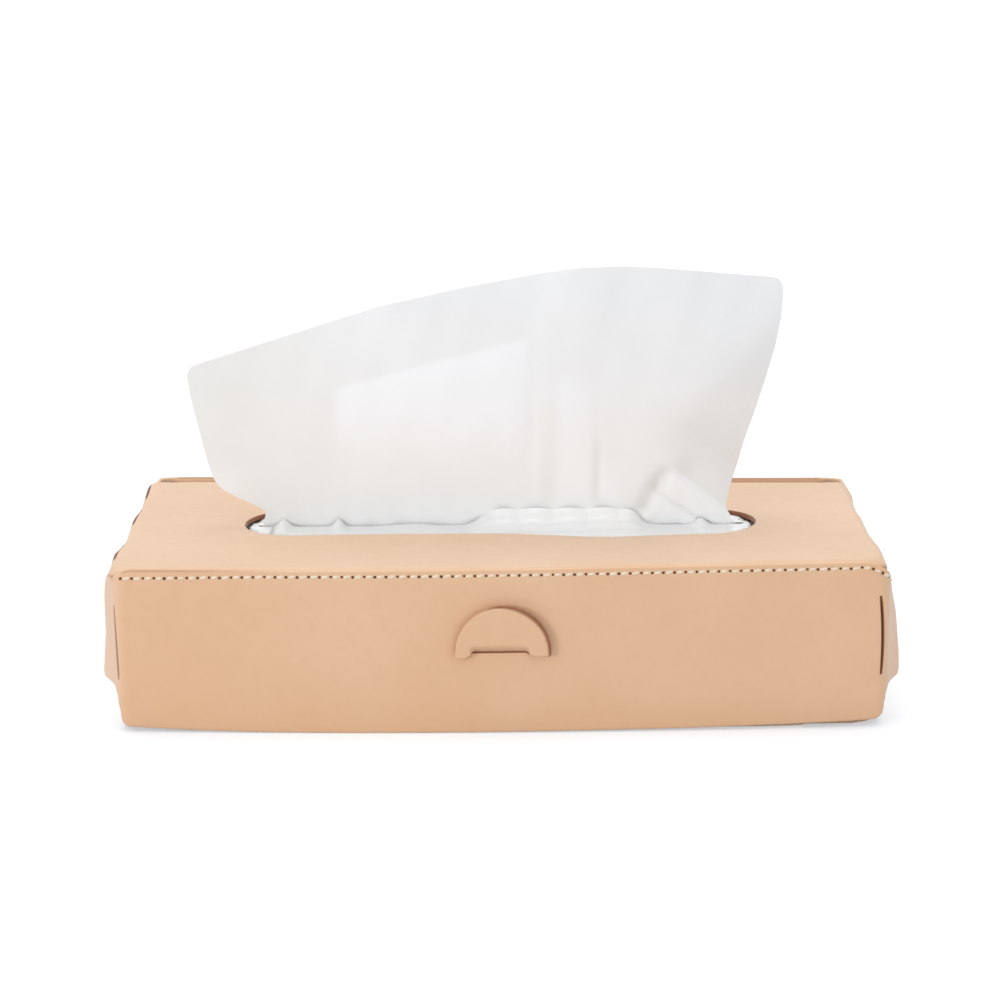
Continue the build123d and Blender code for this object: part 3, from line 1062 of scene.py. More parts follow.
    def make_front(self) -> Any:
        """Cuts and folds the front leather.

        Returns:
            The piece.
        """
        side, end, high = self.corner_x + 3.35, self.ear_end, self.sizes.panel_top
        lower, crown, ear_top = 4.0, 13.6, high - 1.6
        foot = side - lower
        spots = np.linspace(-side + lower, foot, 131)
        bottom = [(u, (1.25 if u > 0 else 1.8) * (abs(u) / foot) ** 4) for u in spots if u < foot - 1.8]
        left_top = line((end, high - self.shoulder_drop), (end, ear_top - crown - 1))
        left_top += corner((end, ear_top), crown, 0, 90, 16)
        steps = ((4.2, ear_top + 0.1), (1.8, ear_top + 0.5), (0.0, high - 0.45), (-1.6, high))
        left_top += [(self.corner_x + out, v) for out, v in steps]
        outline = bottom + self.ear(side, lower + 1.0, 12.2, 3.6, 0.6, 1.25) + self.shoulder(0.0)[::-1]
        outline += line((self.corner_x - 5, high), (-self.corner_x + 3, high))
        outline += mirrored(self.ear(side, lower, 14.6, 4.5, 1.1, 1.7) + left_top)
        low, lip, top, left, right = 25.9, 27.6, 30.8, -12.1, 10.3
        lips = (left, low, 0.8), (-10.1, lip, 1.2), (7.6, lip, 0.8), (right, 26.4, 1.1)
        slot = path(*lips, (right, top, 1.2), (left, top, 1.1), (left, low, 0.0))
        holes = [lens((125.1, 30.5), 26.5, 0.45, 0.8, 0.7), lens((-128.3, 30.5), 25, 0.35, 1.3, 0.0), slot]
        bends = (self.corner_x - 1.5, self.corner_end + 1.5, 0.8), (self.corner_end + 2.2, end, 2.4)
        columns = spread((-120, 120.1, 3), both=bends)
        rows = np.concatenate([np.arange(1.5, 51, 2.4), [51.6, 52.4, 53.0, 53.5, 54.0, 54.5]])
        leather = CutLeather(outline, self.fold_front, columns, rows, holes, burnish_and_shade=self.front_burnish_and_shade)
        return leather.build("front_leather")

    def fold_top(self, u: Array, v: Array) -> Array:
        """Top leather: flat, folded down at the ends, with the lips of the slits standing proud.

        Args:
            u: Places along the pattern.
            v: Places across it.

        Returns:
            N by 3 array of places.
        """
        radius = self.sizes.fold_radius
        far = np.abs(u)
        angle, down = rolled(far - self.end_fold, radius)
        x = np.minimum(far, self.end_fold) + radius * np.sin(angle)
        z = self.sizes.top - radius * (1 - np.cos(angle)) - down
        fading = 2.0 + 7.0 * window(v, -42, 38, 3)
        share = smooth(np.clip((far - self.end_fold + 2) / (2 + 0.85 * radius), 0, 1))
        share = share * np.exp(-down / fading)
        left = soft_table(v, self.left_places, self.left_push, 2.0)
        right = soft_table(v, self.right_places, self.right_push, 2.0)
        x = x + share * np.where(u < 0, left, right)
        back_flat = self.sizes.top_back - radius
        back_angle, back_down = rolled(v - back_flat, radius)
        y = np.minimum(v, back_flat) + radius * np.sin(back_angle)
        z = z - radius * (1 - np.cos(back_angle)) - back_down
        edge = self.front_edge(u) + radius
        front_angle = np.clip((edge - v) / radius, 0, math.pi / 2)
        y = np.where(front_angle > 0, edge - radius * np.sin(front_angle), y)
        z = z - radius * (1 - np.cos(front_angle))
        x = np.where(u < 0, -x, x)
        near = ridge(np.abs(v), self.opening_half_width, 8) * (far < self.end_fold)
        rise = 1.0 * np.exp(-(((x + 34) / 52) ** 4)) - 0.8 * ridge(x, 36, 20)
        sag = near * np.where(v < 0, rise, -0.4 * np.exp(-((x / 80) ** 4)))
        return np.stack([x, y, z + self.lift(x, y) + sag], 1)

    def top_burnish(self, u: Array, v: Array) -> Array:
        """The top's raw edges: darkest at the opening's back and the slits.

        Args:
            u: Places along the pattern.
            v: Places across it.

        Returns:
            How dark the edge is at each place.
        """
        far = np.abs(u)
        slit = (far > self.sizes.half_length - 2.6) & (far < self.sizes.half_length + 2.5)
        dark = np.where(u < 0, 0.9, 0.5)
        tab = (far > 119.5) & (v > 52)
        return np.where(far < 95, 0.9, np.where(slit & (v > -50) | tab, dark, 0.1))

    def make_top(self) -> Any:
        """Cuts and folds the top leather.

        Returns:
            The piece.
        """
        s, radius, flat, joint = self.sizes, self.sizes.fold_radius, self.end_fold, self.joint_line
        turned = flat + radius * math.pi / 2
        end = turned + s.top - radius - 0.5
        tab = float(self.front_edge(121.0)) - 1.2
        side_back, back_row = s.back_face - 7.5, s.top_back - radius
        flange = back_row + radius * math.pi / 2 + 9.0
        inner, foot, back_x, panel = self.flange_half - 0.4, 7.0, s.ear_outer - self.back_bend, tab + 2.9
        right = line((inner, joint), (inner, tab + 0.6), 1.0) + corner((inner, tab), 0.6, 180, 270, 3)
        right += [(inner + 1.4, tab)] + arc((flat - 1.0, tab + 5.0), 5.0, -85, -25, 8)
        right += line((flat + 4.3, panel), (end - foot, panel), 1.5) + corner((end, panel), foot, -90, 0, 9)
        right += line((end, tab + 4.0 + foot), (end, side_back - 1)) + corner((end, side_back), 1.0, 0, 90, 4)
        right += line((end - 1.8, side_back), (turned + 4, side_back))
        right += arc((flat + 1.0, side_back - 1.0), 5.5, 25, 80, 8)
        right += path((flat, side_back + 4.5, 1.2), (back_x, back_row + 0.5, 1.2), (back_x, flange, 0.0))
        outline = line((-inner, joint), (inner, joint)) + right
        outline += line((back_x, flange), (-back_x, flange), 2.4) + mirrored(right)
        half, wide = self.opening_half_length - self.opening_half_width, self.opening_half_width
        opening = line((-half, -wide), (half, -wide), 2.0) + arc((half, 0), wide, -90, 90, 41)
        opening += line((half, wide), (-half, wide), 2.0)[1:] + arc((-half, 0), wide, 90, 270, 41)[:-1]
        holes = [opening]
        holes += [lens((flat + 1.1 * radius, place), self.slit_length, 0.15) for place in self.right_slits]
        holes += [lens((-flat - 0.78 * radius, place), self.slit_length, 0.75) for place in self.left_slits]
        bends = (flat - 1.2, turned + 3, 0.75), (turned + 5, end, 4.0)
        columns = spread((-119, 119.1, 3.4), both=bends)
        rows = spread((joint + 2, 55.5, 2.6), (56.2, flange, 0.9))
        leather = CutLeather(
            outline, self.fold_top, columns, rows, holes, joint_row=joint, burnish_and_shade=self.top_burnish
        )
        return leather.build("top_leather")

    def strip(self, u: Array, v: Array, radius: float) -> tuple[Array, Array, Array]:
        """A strip that leads from the joint on to the front and round a fold.

        Args:
            u: Places along the pattern.
            v: Places across it, from the joint.
            radius: The fold's radius.

        Returns:
            Places along Y, turns round the fold, and distances past it.
        """
        nominal = self.joint_line - self.sizes.top_front - radius
        flat = self.joint_line - self.front_edge(u) - radius
        angle, past = rolled(v - nominal, radius)
        y = self.joint_line - np.clip(v / nominal, 0, 1) * flat - radius * np.sin(angle)
        return y, angle, past

    def fold_flange(self, u: Array, v: Array) -> Array:
        """The strip from the top leather round its front fold to the sewing flange.

        Args:
            u: Places along the pattern.
            v: Places across it.

        Returns:
            N by 3 array of places.
        """
        radius = self.sizes.fold_radius
        y, angle, down = self.strip(u, v, radius)
        z = self.sizes.top - radius * (1 - np.cos(angle)) - down
        return np.stack([u, y - np.minimum(v, 0.0), z + self.lift(u, y)], 1)

    def make_flange(self) -> Any:
        """Folds the strip between the top and the front.

        Returns:
            The piece.
        """
        radius = self.sizes.fold_radius
        nominal = self.joint_line - self.sizes.top_front - radius
        low = nominal + radius * math.pi / 2 + self.sizes.top - radius - self.flange_low
        half = self.flange_half + 0.4
        outline = line((-half + 2, low), (half - 2, low)) + corner((half, low), 2, 90, 0, 5)[:-1]
        outline += path((half, low - 2, 1.4), (half, 0, 1.6), (-half, 0, 1.4), (-half, low - 2, 0.0))
        outline += corner((-half, low), 2, 180, 90, 5)[:-1]
        rows = spread((0.9, nominal + radius * 1.6, 0.7), (9.5, low, 2))
        columns = np.arange(-119, 119.1, 2.8)
        leather = CutLeather(
            outline, self.fold_flange, columns, rows, joint_row=0.0, outward=-1.0, burnish_and_shade=faint
        )
        return leather.build("front_fold_leather")

    def fold_back(self, u: Array, v: Array) -> Array:
        """Back leather: panel with ears round the corners, and the bottom below its fold.

        Args:
            u: Places along the pattern.
            v: Places across it.

        Returns:
            N by 3 array of places.
        """
        radius, bend, face = self.sizes.fold_radius, self.back_bend, self.sizes.back_face
        flat = self.sizes.ear_outer - bend
        far = np.abs(u)
        angle, rest = rolled(far - flat, bend)
        panel_x = np.where(u < 0, -1.0, 1.0) * (np.minimum(far, flat) + bend * np.sin(angle))
        panel_y = face - bend * (1 - np.cos(angle)) - rest
        turn, under = rolled(radius - v, radius)
        upper = v >= radius
        x = np.where(upper, panel_x, u)
        y = np.where(upper, panel_y, face - radius * (1 - np.cos(turn)) - under)
        z = np.where(upper, v, radius * (1 - np.sin(turn)))
        z = z + self.lift(x, y) * np.clip((z - 20) / 30, 0, 1)
        return np.stack([x, y, z], 1)

    def make_back(self) -> Any:
        """Cuts and folds the back leather with the bottom.

        Returns:
            The piece.
        """
        s, radius, bend, under = self.sizes, self.sizes.fold_radius, self.back_bend, self.under
        flat = s.ear_outer - bend
        round_ear = flat + bend * math.pi / 2
        end = round_ear + s.back_face - bend - s.back_ear_end
        joint = radius - radius * math.pi / 2 - (s.back_face - radius - self.joint_line)
        notch = joint + (s.back_face - bend - self.joint_line)
        top, ear_top, crown, shelf = s.back_top, s.top - 3.2, 7.0, radius + 0.2
        round_end, corner_u = self.bottom_corner, under - self.bottom_corner
        right = corner((under, joint), round_end, -90, 0, 9)
        right += line((under, joint + round_end + 1), (under, notch - 1), 2.4)
        right += corner((under, notch), 1, 0, 90, 4)
        steps = (under - 1.8, notch, 1.0), (flat, notch, 1.0), (flat, shelf, 1.0)
        right += path(*steps, (round_ear - 1, shelf, 0.0)) + corner((round_ear, shelf), 1, -90, 0, 4)
        right += line((round_ear, radius + 2), (round_ear, 14), 1.2)
        right += line((round_ear, 15), (end - 1, 15)) + corner((end, 15), 1, -90, 0, 4)
        right += line((end, 17), (end, ear_top - crown)) + corner((end, ear_top), crown, 0, 90, 14)
        right += line((end - crown - 0.8, ear_top), (round_ear - 0.5, ear_top))
        right += [(round_ear - 3, ear_top + 0.8)]
        outline = line((-corner_u, joint), (corner_u, joint), 2.0) + right
        outline += line((round_ear - 7, top), (-round_ear + 7, top), 2.0) + mirrored(right)[:-1]
        bends = (flat - 1, round_ear + 1, 1.1), (round_ear + 4, round_ear + 5, 4)
        columns = spread((-116, 116.1, 4), both=bends)
        rows = spread((joint + 3, -2.5, 5.0), (-1.9, radius + 1, 0.6), (6, top - 1, 2.8))
        leather = CutLeather(
            outline,
            self.fold_back,
            columns,
            rows,
            joint_row=joint,
            outward=-1.0,
            burnish_and_shade=lambda u, v: np.where(np.abs(u) > flat - 2, 0.15, 0.5),
        )
        return leather.build("back_leather")

    def fold_inner(self, u: Array, v: Array) -> Array:
        """Inner flap: from the bottom up behind the front panel."""
        y, angle, up = self.strip(u, v, self.inner_radius)
        return np.stack([u, y - np.minimum(v, 0.0), self.inner_radius * (1 - np.cos(angle)) + up], 1)

    def make_inner(self) -> Any:
        """Folds the inner flap.

        Returns:
            The piece.
        """
        radius = self.inner_radius
        fold = self.joint_line - self.sizes.top_front - radius + radius * math.pi / 2
        high = fold + 24.0 - radius
        half, crown, wide = 100.0, 15.0, self.under - self.bottom_corner
        right = line((wide, 0), (wide, 1.2), 1.0) + corner((wide, 2.2), 1, 0, 90, 4)
        right += line((wide - 1.8, 2.2), (half + 2, 2.2), 2.0) + corner((half, 2.2), 2, -90, -180, 5)[:-1]
        right += line((half, 4.2), (half, high - crown)) + corner((half, high), crown, 0, 90, 14)
        outline = line((-wide, 0), (wide, 0), 2.0) + right
        outline += line((half - crown - 1, high), (-half + crown + 1, high), 2.0) + mirrored(right)
        rows = spread((0.9, fold + 1, 0.6), (fold + 2, high, 3.0))
        columns = np.arange(-120, 120.1, 3.0)
        leather = CutLeather(outline, self.fold_inner, columns, rows, joint_row=0.0, burnish_and_shade=faint)
        return leather.build("inner_flap_leather")

    def fold_tongue(self, u: Array, v: Array) -> Array:
        """Tongue: straight behind the panel, then out through the slot, with its head flat on the front.

        Args:
            u: Places along the pattern.
            v: Places across it.

        Returns:
            N by 3 array of places.
        """
        behind, ahead = self.sizes.top_front, self.sizes.panel_front - 0.3 - LEATHER
        drop = np.clip((np.abs(u + 0.8) - 8.6) * 0.7, 0, 1.5)
        ease = smooth(np.clip((v + drop - 26.8) / 4.2, 0, 1))
        inner = np.minimum(u + 10.4, 8.8 - u)
        ease = np.maximum(ease, np.clip(1 - inner / 1.4, 0, 1) * np.clip((v - 27.6) / 1.0, 0, 1))
        y = np.where(inner > 0, behind + (ahead - behind) * ease, ahead)
        dome = 0.3 * np.clip((v - 30) / 12, 0, 1) * np.clip(1 - (u / 15) ** 2, 0, 1)
        stand = 0.6 * np.clip((u * 0.7 + (v - 29)) / 20, 0, 1) ** 1.6
        return np.stack([u, y - dome - stand, v], 1)

    def make_tongue(self) -> Any:
        """Cuts and bends the closure tongue with its half-disc head.

        Returns:
            The piece.
        """
        head, centre, gap, foot, barb_low, slit = 15.9, 28.3, 0.2, 24.0, 26.5, 27.6
        sides = []
        for neck, tip in ((8.7, barb_low + 0.5), (10.3, barb_low - 0.1)):
            shank = (neck, foot, 0.8), (neck, slit, 0.3), (neck + gap, slit, 0.6)
            made = path(*shank, (neck + 2.0, tip, 0.8), (head - 0.7, tip, 0.0))
            sides.append(made + corner((head, tip), 0.7, -90, 0, 4))
        outline = line((-10.3, foot), (8.7, foot), 1.2) + sides[0] + arc((0, centre), head, 2, 178, 61)
        leather = CutLeather(
            outline + mirrored(sides[1]),
            self.fold_tongue,
            np.arange(-14.5, 14.6, 0.9),
            np.arange(24.6, 43, 0.7),
            rounding=0.4,
            guard=0.5,
            # Painted shadow: the rim darkens towards the upper right, and a dark crescent is painted there
            # for the shadow where the head stands off the panel.
            burnish_and_shade=lambda u, v: np.where(v < 28, 0.2, 0.45 + 0.5 * np.clip((u + v - 36) / 8, 0, 1)),
            painted_shade=lambda u, v: 0.7
            * np.clip((np.hypot(u, v - centre) - head + 1.5) / 0.7, 0, 1)
            * np.clip((u + 0.6 * v - 24) / 9, 0, 1),
        )
        return leather.build("tongue_leather")

    def build(self) -> None:
        """Makes, dresses and places every leather piece."""
        leather, front = self.finish.material(), self.front_finish.material()
        plan = (
            (self.make_front, front, ("front_panel",), Body.FRONT_FLAP, ()),
            (self.make_top, leather, ("top_cover",), Body.CASE, ()),
            (self.make_back, leather, ("back_panel", "bottom_panel"), Body.CASE, ()),
            (self.make_flange, leather, ("front_flange",), Body.FRONT_FLAP, (self.sizes.top - 0.1, 52.5)),
            (self.make_inner, leather, ("inner_flap",), Body.INNER_FOLD, (1.9, 4.6)),
            (self.make_tongue, front, ("closure_tongue",), Body.INNER_FOLD, ()),
        )
        for make, material, nodes, body, bend in plan:
            piece = dress(make(), material, Slot.LEATHER, *nodes)
            if bend:
                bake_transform(piece)
            else:
                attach(piece, body.value)


@dataclass
class Stitching:
    """Rows of slanted stitches with their pricked holes, laid along a seam."""

    leather: LeatherCase
    pitch: float = 3.6
    stitch: Size = (1.3, 0.6, 0.4)
    prick: Size = (0.52, 0.5, 0.3)
    slant: float = 9.0
    wander: float = 0.05
    growth: Point = (0.92, 1.06)
    seed: int = 7

    def tree(self) -> Tree:
        """Builds the node tree that lays one shape after another along a line.

        Returns:
            The tree, with named inputs for its sizes.
        """
        tree = bpy.data.node_groups.new("stitch_row", "GeometryNodeTree")
        kinds = {"Geometry": "Geometry", "Pitch": "Float", "Half Size": "Vector", "Offset": "Vector"}
        kinds |= {"Slant": "Float", "Seed": "Int", "Material": "Material"}
        for name, kind in kinds.items():
            tree.interface.new_socket(name, in_out="INPUT", socket_type="NodeSocket" + kind)
        tree.interface.new_socket("Geometry", in_out="OUTPUT", socket_type="NodeSocketGeometry")
        given = add_node(tree, "NodeGroupInput").outputs
        curve = add_node(tree, "GeometryNodeMeshToCurve", {"Mesh": given["Geometry"]}, "Curve")
        spaced = {"Curve": curve, "Length": given["Pitch"]}
        steps = add_node(tree, "GeometryNodeResampleCurve", spaced, "Curve", mode="LENGTH")
        ball = add_node(tree, "GeometryNodeMeshUVSphere", {"Segments": 10, "Rings": 7, "Radius": 1.0}, "Mesh")
        sized = {"Geometry": ball, "Scale": given["Half Size"], "Translation": given["Offset"]}
        shape = add_node(tree, "GeometryNodeTransform", sized, "Geometry")
        shape = add_node(tree, "GeometryNodeSetShadeSmooth", {"Geometry": shape}, "Geometry")
        tangent = add_node(tree, "GeometryNodeInputTangent", out="Tangent")
        turn = add_node(tree, "FunctionNodeAlignRotationToVector", {"Vector": tangent}, "Rotation", axis="X")
        named = {"Name": "outward"}
        outward = add_node(
            tree, "GeometryNodeInputNamedAttribute", named, "Attribute", data_type="FLOAT_VECTOR"
        )
        stood = {"Rotation": turn, "Vector": outward}
        turn = add_node(
            tree, "FunctionNodeAlignRotationToVector", stood, "Rotation", axis="Z", pivot_axis="X"
        )
        drawn = {2: -self.wander, 3: self.wander, "Seed": given["Seed"]}
        wander = add_node(tree, "FunctionNodeRandomValue", drawn, 1, data_type="FLOAT")
        angle = add_node(tree, "ShaderNodeMath", [given["Slant"], wander], "Value", operation="ADD")
        twist = add_node(tree, "ShaderNodeCombineXYZ", {"Z": angle}, "Vector")
        twisted = {"Rotation": turn, "Rotate By": twist}
        turn = add_node(tree, "FunctionNodeRotateRotation", twisted, "Rotation", rotation_space="LOCAL")
        drawn = {2: self.growth[0], 3: self.growth[1], "Seed": given["Seed"]}
        growth = add_node(tree, "FunctionNodeRandomValue", drawn, 1, data_type="FLOAT")
        laid = {"Points": steps, "Instance": shape, "Rotation": turn, "Scale": growth}
        placed = add_node(tree, "GeometryNodeInstanceOnPoints", laid, "Instances")
        real = add_node(tree, "GeometryNodeRealizeInstances", {"Geometry": placed}, "Geometry")
        worn = {"Geometry": real, "Material": given["Material"]}
        dressed = add_node(tree, "GeometryNodeSetMaterial", worn, "Geometry")
        add_node(tree, "NodeGroupOutput", {"Geometry": dressed})
        return tree

    def row(
        self, name: str, seam: tuple[Array, Array], size: Size, offset: float, material: Any, tree: Tree
    ) -> Any:
        """Lays one kind of shape along a seam and makes it a plain mesh.

        Args:
            name: Name of the object.
            seam: Points in millimetres and outward directions of the seam.
            size: Half sizes of the shape along, across and out of the seam.
            offset: How far along the seam each shape is moved from the stitch's middle.
            material: Its material.
            tree: The node tree.

        Returns:
            The object.
        """
        points, outward = seam
        mesh = bpy.data.meshes.new(name)
        mesh.from_pydata((points * MM).tolist(), [(i, i + 1) for i in range(len(points) - 1)], [])
        attribute = mesh.attributes.new("outward", "FLOAT_VECTOR", "POINT")
        attribute.data.foreach_set("vector", outward.astype(np.float32).ravel())
        made = bpy.data.objects.new(name, mesh)
        bpy.context.scene.collection.objects.link(made)
        modifier = made.modifiers.new("stitch_row", "NODES")
        modifier.node_group = tree
        slant = math.radians(self.slant)
        values = {
            "Pitch": self.pitch * MM,
            "Half Size": [half * MM for half in size],
            "Offset": [offset * MM * math.cos(slant), -offset * MM * math.sin(slant), 0.0],
            "Slant": slant,
            "Seed": self.seed,
            "Material": material,
        }
        for item in tree.interface.items_tree:
            if item.in_out == "INPUT" and item.name in values:
                modifier[item.identifier] = values[item.name]
        graph = bpy.context.evaluated_depsgraph_get()
        result = bpy.data.meshes.new_from_object(made.evaluated_get(graph))
        made.modifiers.remove(modifier)
        made.data = result
        return made

    def front_seam(self) -> tuple[Array, Array]:
        """The front seam, on round the right ear's top corner.

        Returns:
            Points and outward directions.
        """
        case = self.leather
        spots = np.arange(0.6 - case.corner_x, case.corner_x - 5, 0.9)
        straight = [(u, case.seam - 0.2 - 0.6 * min(max((-u - 80) / 40, 0), 1)) for u in spots]
        pattern = np.array(straight + case.shoulder(case.seam_drop + 0.1)[:12])
        case_sheet = CutLeather([], case.fold_front, np.zeros(0), np.zeros(0))
        surface = case_sheet.place(pattern, np.full(len(pattern), 0.0))
        raised = case_sheet.place(pattern, np.full(len(pattern), -1.0))
        return surface, raised - surface

    def back_seam(self) -> tuple[Array, Array]:
        """The back seam, straight along the back panel.

        Returns:
            Points and outward directions.
        """
        case = self.leather
        half = case.sizes.ear_outer - 12.0
        x = np.arange(-half, half, 0.9)
        y, z = np.full(len(x), case.sizes.back_face), np.full(len(x), case.seam)
        return np.stack([x, y, z], 1), np.tile([0.0, 1.0, 0.0], (len(x), 1))

    def build(self) -> None:
        """Makes the thread and the holes of both seams."""
        tree, thread, hole = self.tree(), THREAD.material(), AWL_HOLE.material()
        sides = {
            "front": (self.front_seam, Body.FRONT_FLAP, "front_stitching"),
            "back": (self.back_seam, Body.CASE, "back_stitching"),
        }
        for side, (seam, body, node) in sides.items():
            stitches = self.row(side + "_stitches", seam(), self.stitch, 0.0, thread, tree)
            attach(dress(stitches, thread, Slot.THREAD, node), body.value)
            pricks = self.row(side + "_awl_holes", seam(), self.prick, -self.pitch / 2, hole, tree)
            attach(dress(pricks, hole, Slot.LEATHER), body.value)


@dataclass
class Tissue:
    """The tissue that stands up through the slit: a soft sheet with packing creases and a turned-back flank.

    Its outline was read from the front, as places and heights above the case's top on the plane of the slit.
    """

    sizes: CaseSizes
    finish: TissueFinish
    tail_low: float
    columns: int = 240
    rows: int = 130
    thickness: float = 0.3
    eye: Size = (-8.0, -947.0, 305.0)
    left_heights: Table = (-16, 0, 4.5, 6.7, 8.9, 11.4, 14, 16.5, 22.9, 33.5, 44.1, 51.1, 54, 95)
    left_reach: Table = (83, 82.6, 81.2, 85.2, 90.4, 95.3, 98.2, 99.5, 101.4, 103.8, 106.2, 107.3, 107.6, 112)
    right_heights: Table = (-16, -2.7, 4.6, 11, 15.3, 22.9, 30, 40.6, 51.1, 61.5, 71.7, 78.5, 84, 95)
    right_reach: Table = (83.5, 82.7, 78.2, 79.3, 80.6, 82.6, 84.6, 88.2, 91.4, 94.3, 96.2, 96.7, 96.9, 97.5)
    top_places: Table = (
        -108, -107.3, -106.2, -104, -82, -40.8, -13.5, 13.8, 27.4, 41, 54.6, 92, 95.2, 96.5, 97.3
    )
    top_heights: Table = (
        50, 53.6, 55.7, 56.6, 63.6, 76.5, 82.5, 87.5, 89.2, 89.7, 89.1, 85.9, 85.3, 83.6, 80
    )
    bow_places: Table = (-112, -95, -64, -36, -10, 11, 28, 44, 60, 80, 100)
    bow_depths: Table = (13, 7, -3, -6.5, -5.5, -2.5, -4.5, -1.5, -1, 5, 12)
    tuck_crease: tuple[Point, ...] = ((49.7, 4.8), (53, 11.9), (57, 16.8))
    tuck_shade: tuple[Point, ...] = ((49.8, 5.3), (52, 9.4), (53.8, 13))
    upper_shade: tuple[Point, ...] = ((54, 12.6), (58, 17.5), (63, 19.5))
    lower_shade: tuple[Point, ...] = ((54, 10.4), (58.8, 8.1), (66, 2.6), (72, -0.3))

    def flank(self, x: Array, h: Array) -> Array:
        """Distance to the right of the soft line where the right part of the tissue turns back."""
        return (x - 51.6) * 0.714 - (h - 25.4) * 0.70

    def pleat(self, x: Array, h: Array) -> tuple[Array, Array, Array]:
        """Distances past the three creases of the pleat at the tissue's right foot.

        Args:
            x: Places along the length.
            h: Heights above the case's top.

        Returns:
            How far each place lies above the upper crease, above the lower one, and right of the tuck.
        """
        upper = (x - 62.5) * 0.626 + (h - 16.9) * 0.780
        lower = (x - 53.8) * 0.539 + (h - 10.4) * 0.843
        tuck = (x - 49.7) * 0.894 - (h - 5.1) * 0.447
        return upper, lower, tuck

    def near(self, x: Array, h: Array, points: tuple[Point, ...], width: float) -> Array:
        """How near each place is to a crease, as a soft ridge along an open line of points.

        Args:
            x: Places along the length.
            h: Heights above the case's top.
            points: The crease.
            width: Its width.

        Returns:
            Values from 0 far off to 1 on the crease.
        """
        best = np.full(x.shape, np.inf)
        for (x0, h0), (x1, h1) in zip(points, points[1:]):
            along, up = x1 - x0, h1 - h0
            t = np.clip(((x - x0) * along + (h - h0) * up) / (along**2 + up**2), 0, 1)
            best = np.minimum(best, np.hypot(x - x0 - t * along, h - h0 - t * up))
        return ridge(best, 0.0, width)

    def depth(self, x: Array, h: Array) -> Array:
        """How far back each point of the tissue stands.

        Args:
            x: Places along the length.
            h: Heights above the case's top.

        Returns:
            Depths along Y; forward is negative.
        """
        rise = np.clip(h / 88, 0, 1.1)
        y = soft_table(x, self.bow_places, self.bow_depths, 8.0) * rise**0.85
        upper, lower, tuck = self.pleat(x, h)
        y = y + 1.3 * np.logaddexp(0, self.flank(x, h) / 2.6) * np.clip((upper + 1) / 15, 0, 1)
        y = y + 0.066 * np.logaddexp(0, (h - 42.5 - 0.24 * (x + 64)) / 1.2) * window(x, -70, 16, 10, 7)
        y = y + 0.135 * np.logaddexp(0, -(x + 64) / 1.5) * soft_step(h - 14, 6)
        y = y + 1.0 * ridge(x, 10.5, 4) * window(h, 21, 60, 6)
        y = y + 0.9 * ridge(x, 34, 1.6) * window(h, 9, 27, 4, 6)
        foot = np.clip((h + 2) / 5, 0, 1)
        y = y + 2.2 * self.near(x, h, self.tuck_crease, 2.4) * foot
        between = soft_step(lower - 0.7, 0.6) * soft_step(-upper - 0.7, 0.8)
        y = y - 1.5 * between * soft_step(x - 58, 2.5) * foot
        y = y - 1.2 * soft_step(-lower - 0.7, 0.6) * soft_step(tuck - 0.8, 0.8) * foot
        crinkle = np.exp(-np.clip(h, 0, None) / 9) * np.clip((h + 3) / 6, 0, 1)
        y = y + 0.15 * np.sin(x * 0.71 + 1.1) * crinkle
        return y + (0.3 * np.sin(x * 0.19 + h * 0.06) + 0.12 * np.sin(x * 0.43 - h * 0.13)) * rise

    def painted_shading(self, x: Array, h: Array) -> Array:
        """Painted shade and painted highlight on the tissue: greyer on the left third, the flank and the
        creases' turns, lighter in a patch left of the middle.

        Args:
            x: Places along the length.
            h: Heights above the case's top.

        Returns:
            Values for the fold attribute, from 0 to 1.
        """
        plateau = window(x, -56.6, 9.2, 1.6, 1.4) * soft_step(h - 27, 9)
        grey = 0.20 - 0.20 * plateau * soft_step(48 + 0.2625 * (x + 55.4) - h, 1.2)
        grey = grey + 0.18 * soft_step(-(x + 58), 14) + 0.10 * soft_step(-(x + 80), 8)
        grey = grey + 0.02 * soft_step(self.flank(x, h), 2.0)
        # Upright bands of painted shade, and of painted highlight where the strength is negative: strength,
        # left, right, low, high and softness.
        bands = (
            (0.10, 13.6, 18.7, 8, 43, 1.0),
            (-0.12, 20.4, 30.7, 8, 50, 1.5),
            (0.10, 33.2, 35.0, 8, 29, 1.2),
            (-0.10, 35.2, 41, 6, 15.5, 1.2),
        )
        for strength, left, right, low, high, soft in bands:
            grey = grey + strength * window(x, left, right, soft) * window(h, low, high, 2.5 * soft)
        upper, lower, tuck = self.pleat(x, h)
        grey = grey + 0.34 * self.near(x, h, self.tuck_shade, 1.3) * soft_step(tuck + 1, 0.8)
        grey = grey + 0.20 * self.near(x, h, self.upper_shade, 3.2) * soft_step(lower, 0.7)
        fading = np.exp(-np.clip(upper, 0, None) / 9)
        grey = grey + 0.16 * soft_step(upper, 0.5) * soft_step(x - 60, 3) * fading
        grey = grey - 0.10 * soft_step(-upper, 0.5) * soft_step(x - 56, 2) * soft_step(22 - h, 4)
        return grey + 0.14 * self.near(x, h, self.lower_shade, 0.8)

    def across(self, h: Array, share: Array, soft: float) -> Array:
        """Places along the length, spread between the tissue's two edges.

        Args:
            h: Heights above the case's top.
            share: Shares of the way from the left edge to the right.
            soft: Distance over which the edges' corners are rounded.

        Returns:
            The places.
        """
        left = soft_table(h, self.left_heights, self.left_reach, soft)
        right = soft_table(h, self.right_heights, self.right_reach, soft)
        return -left * (1 - share) + right * share

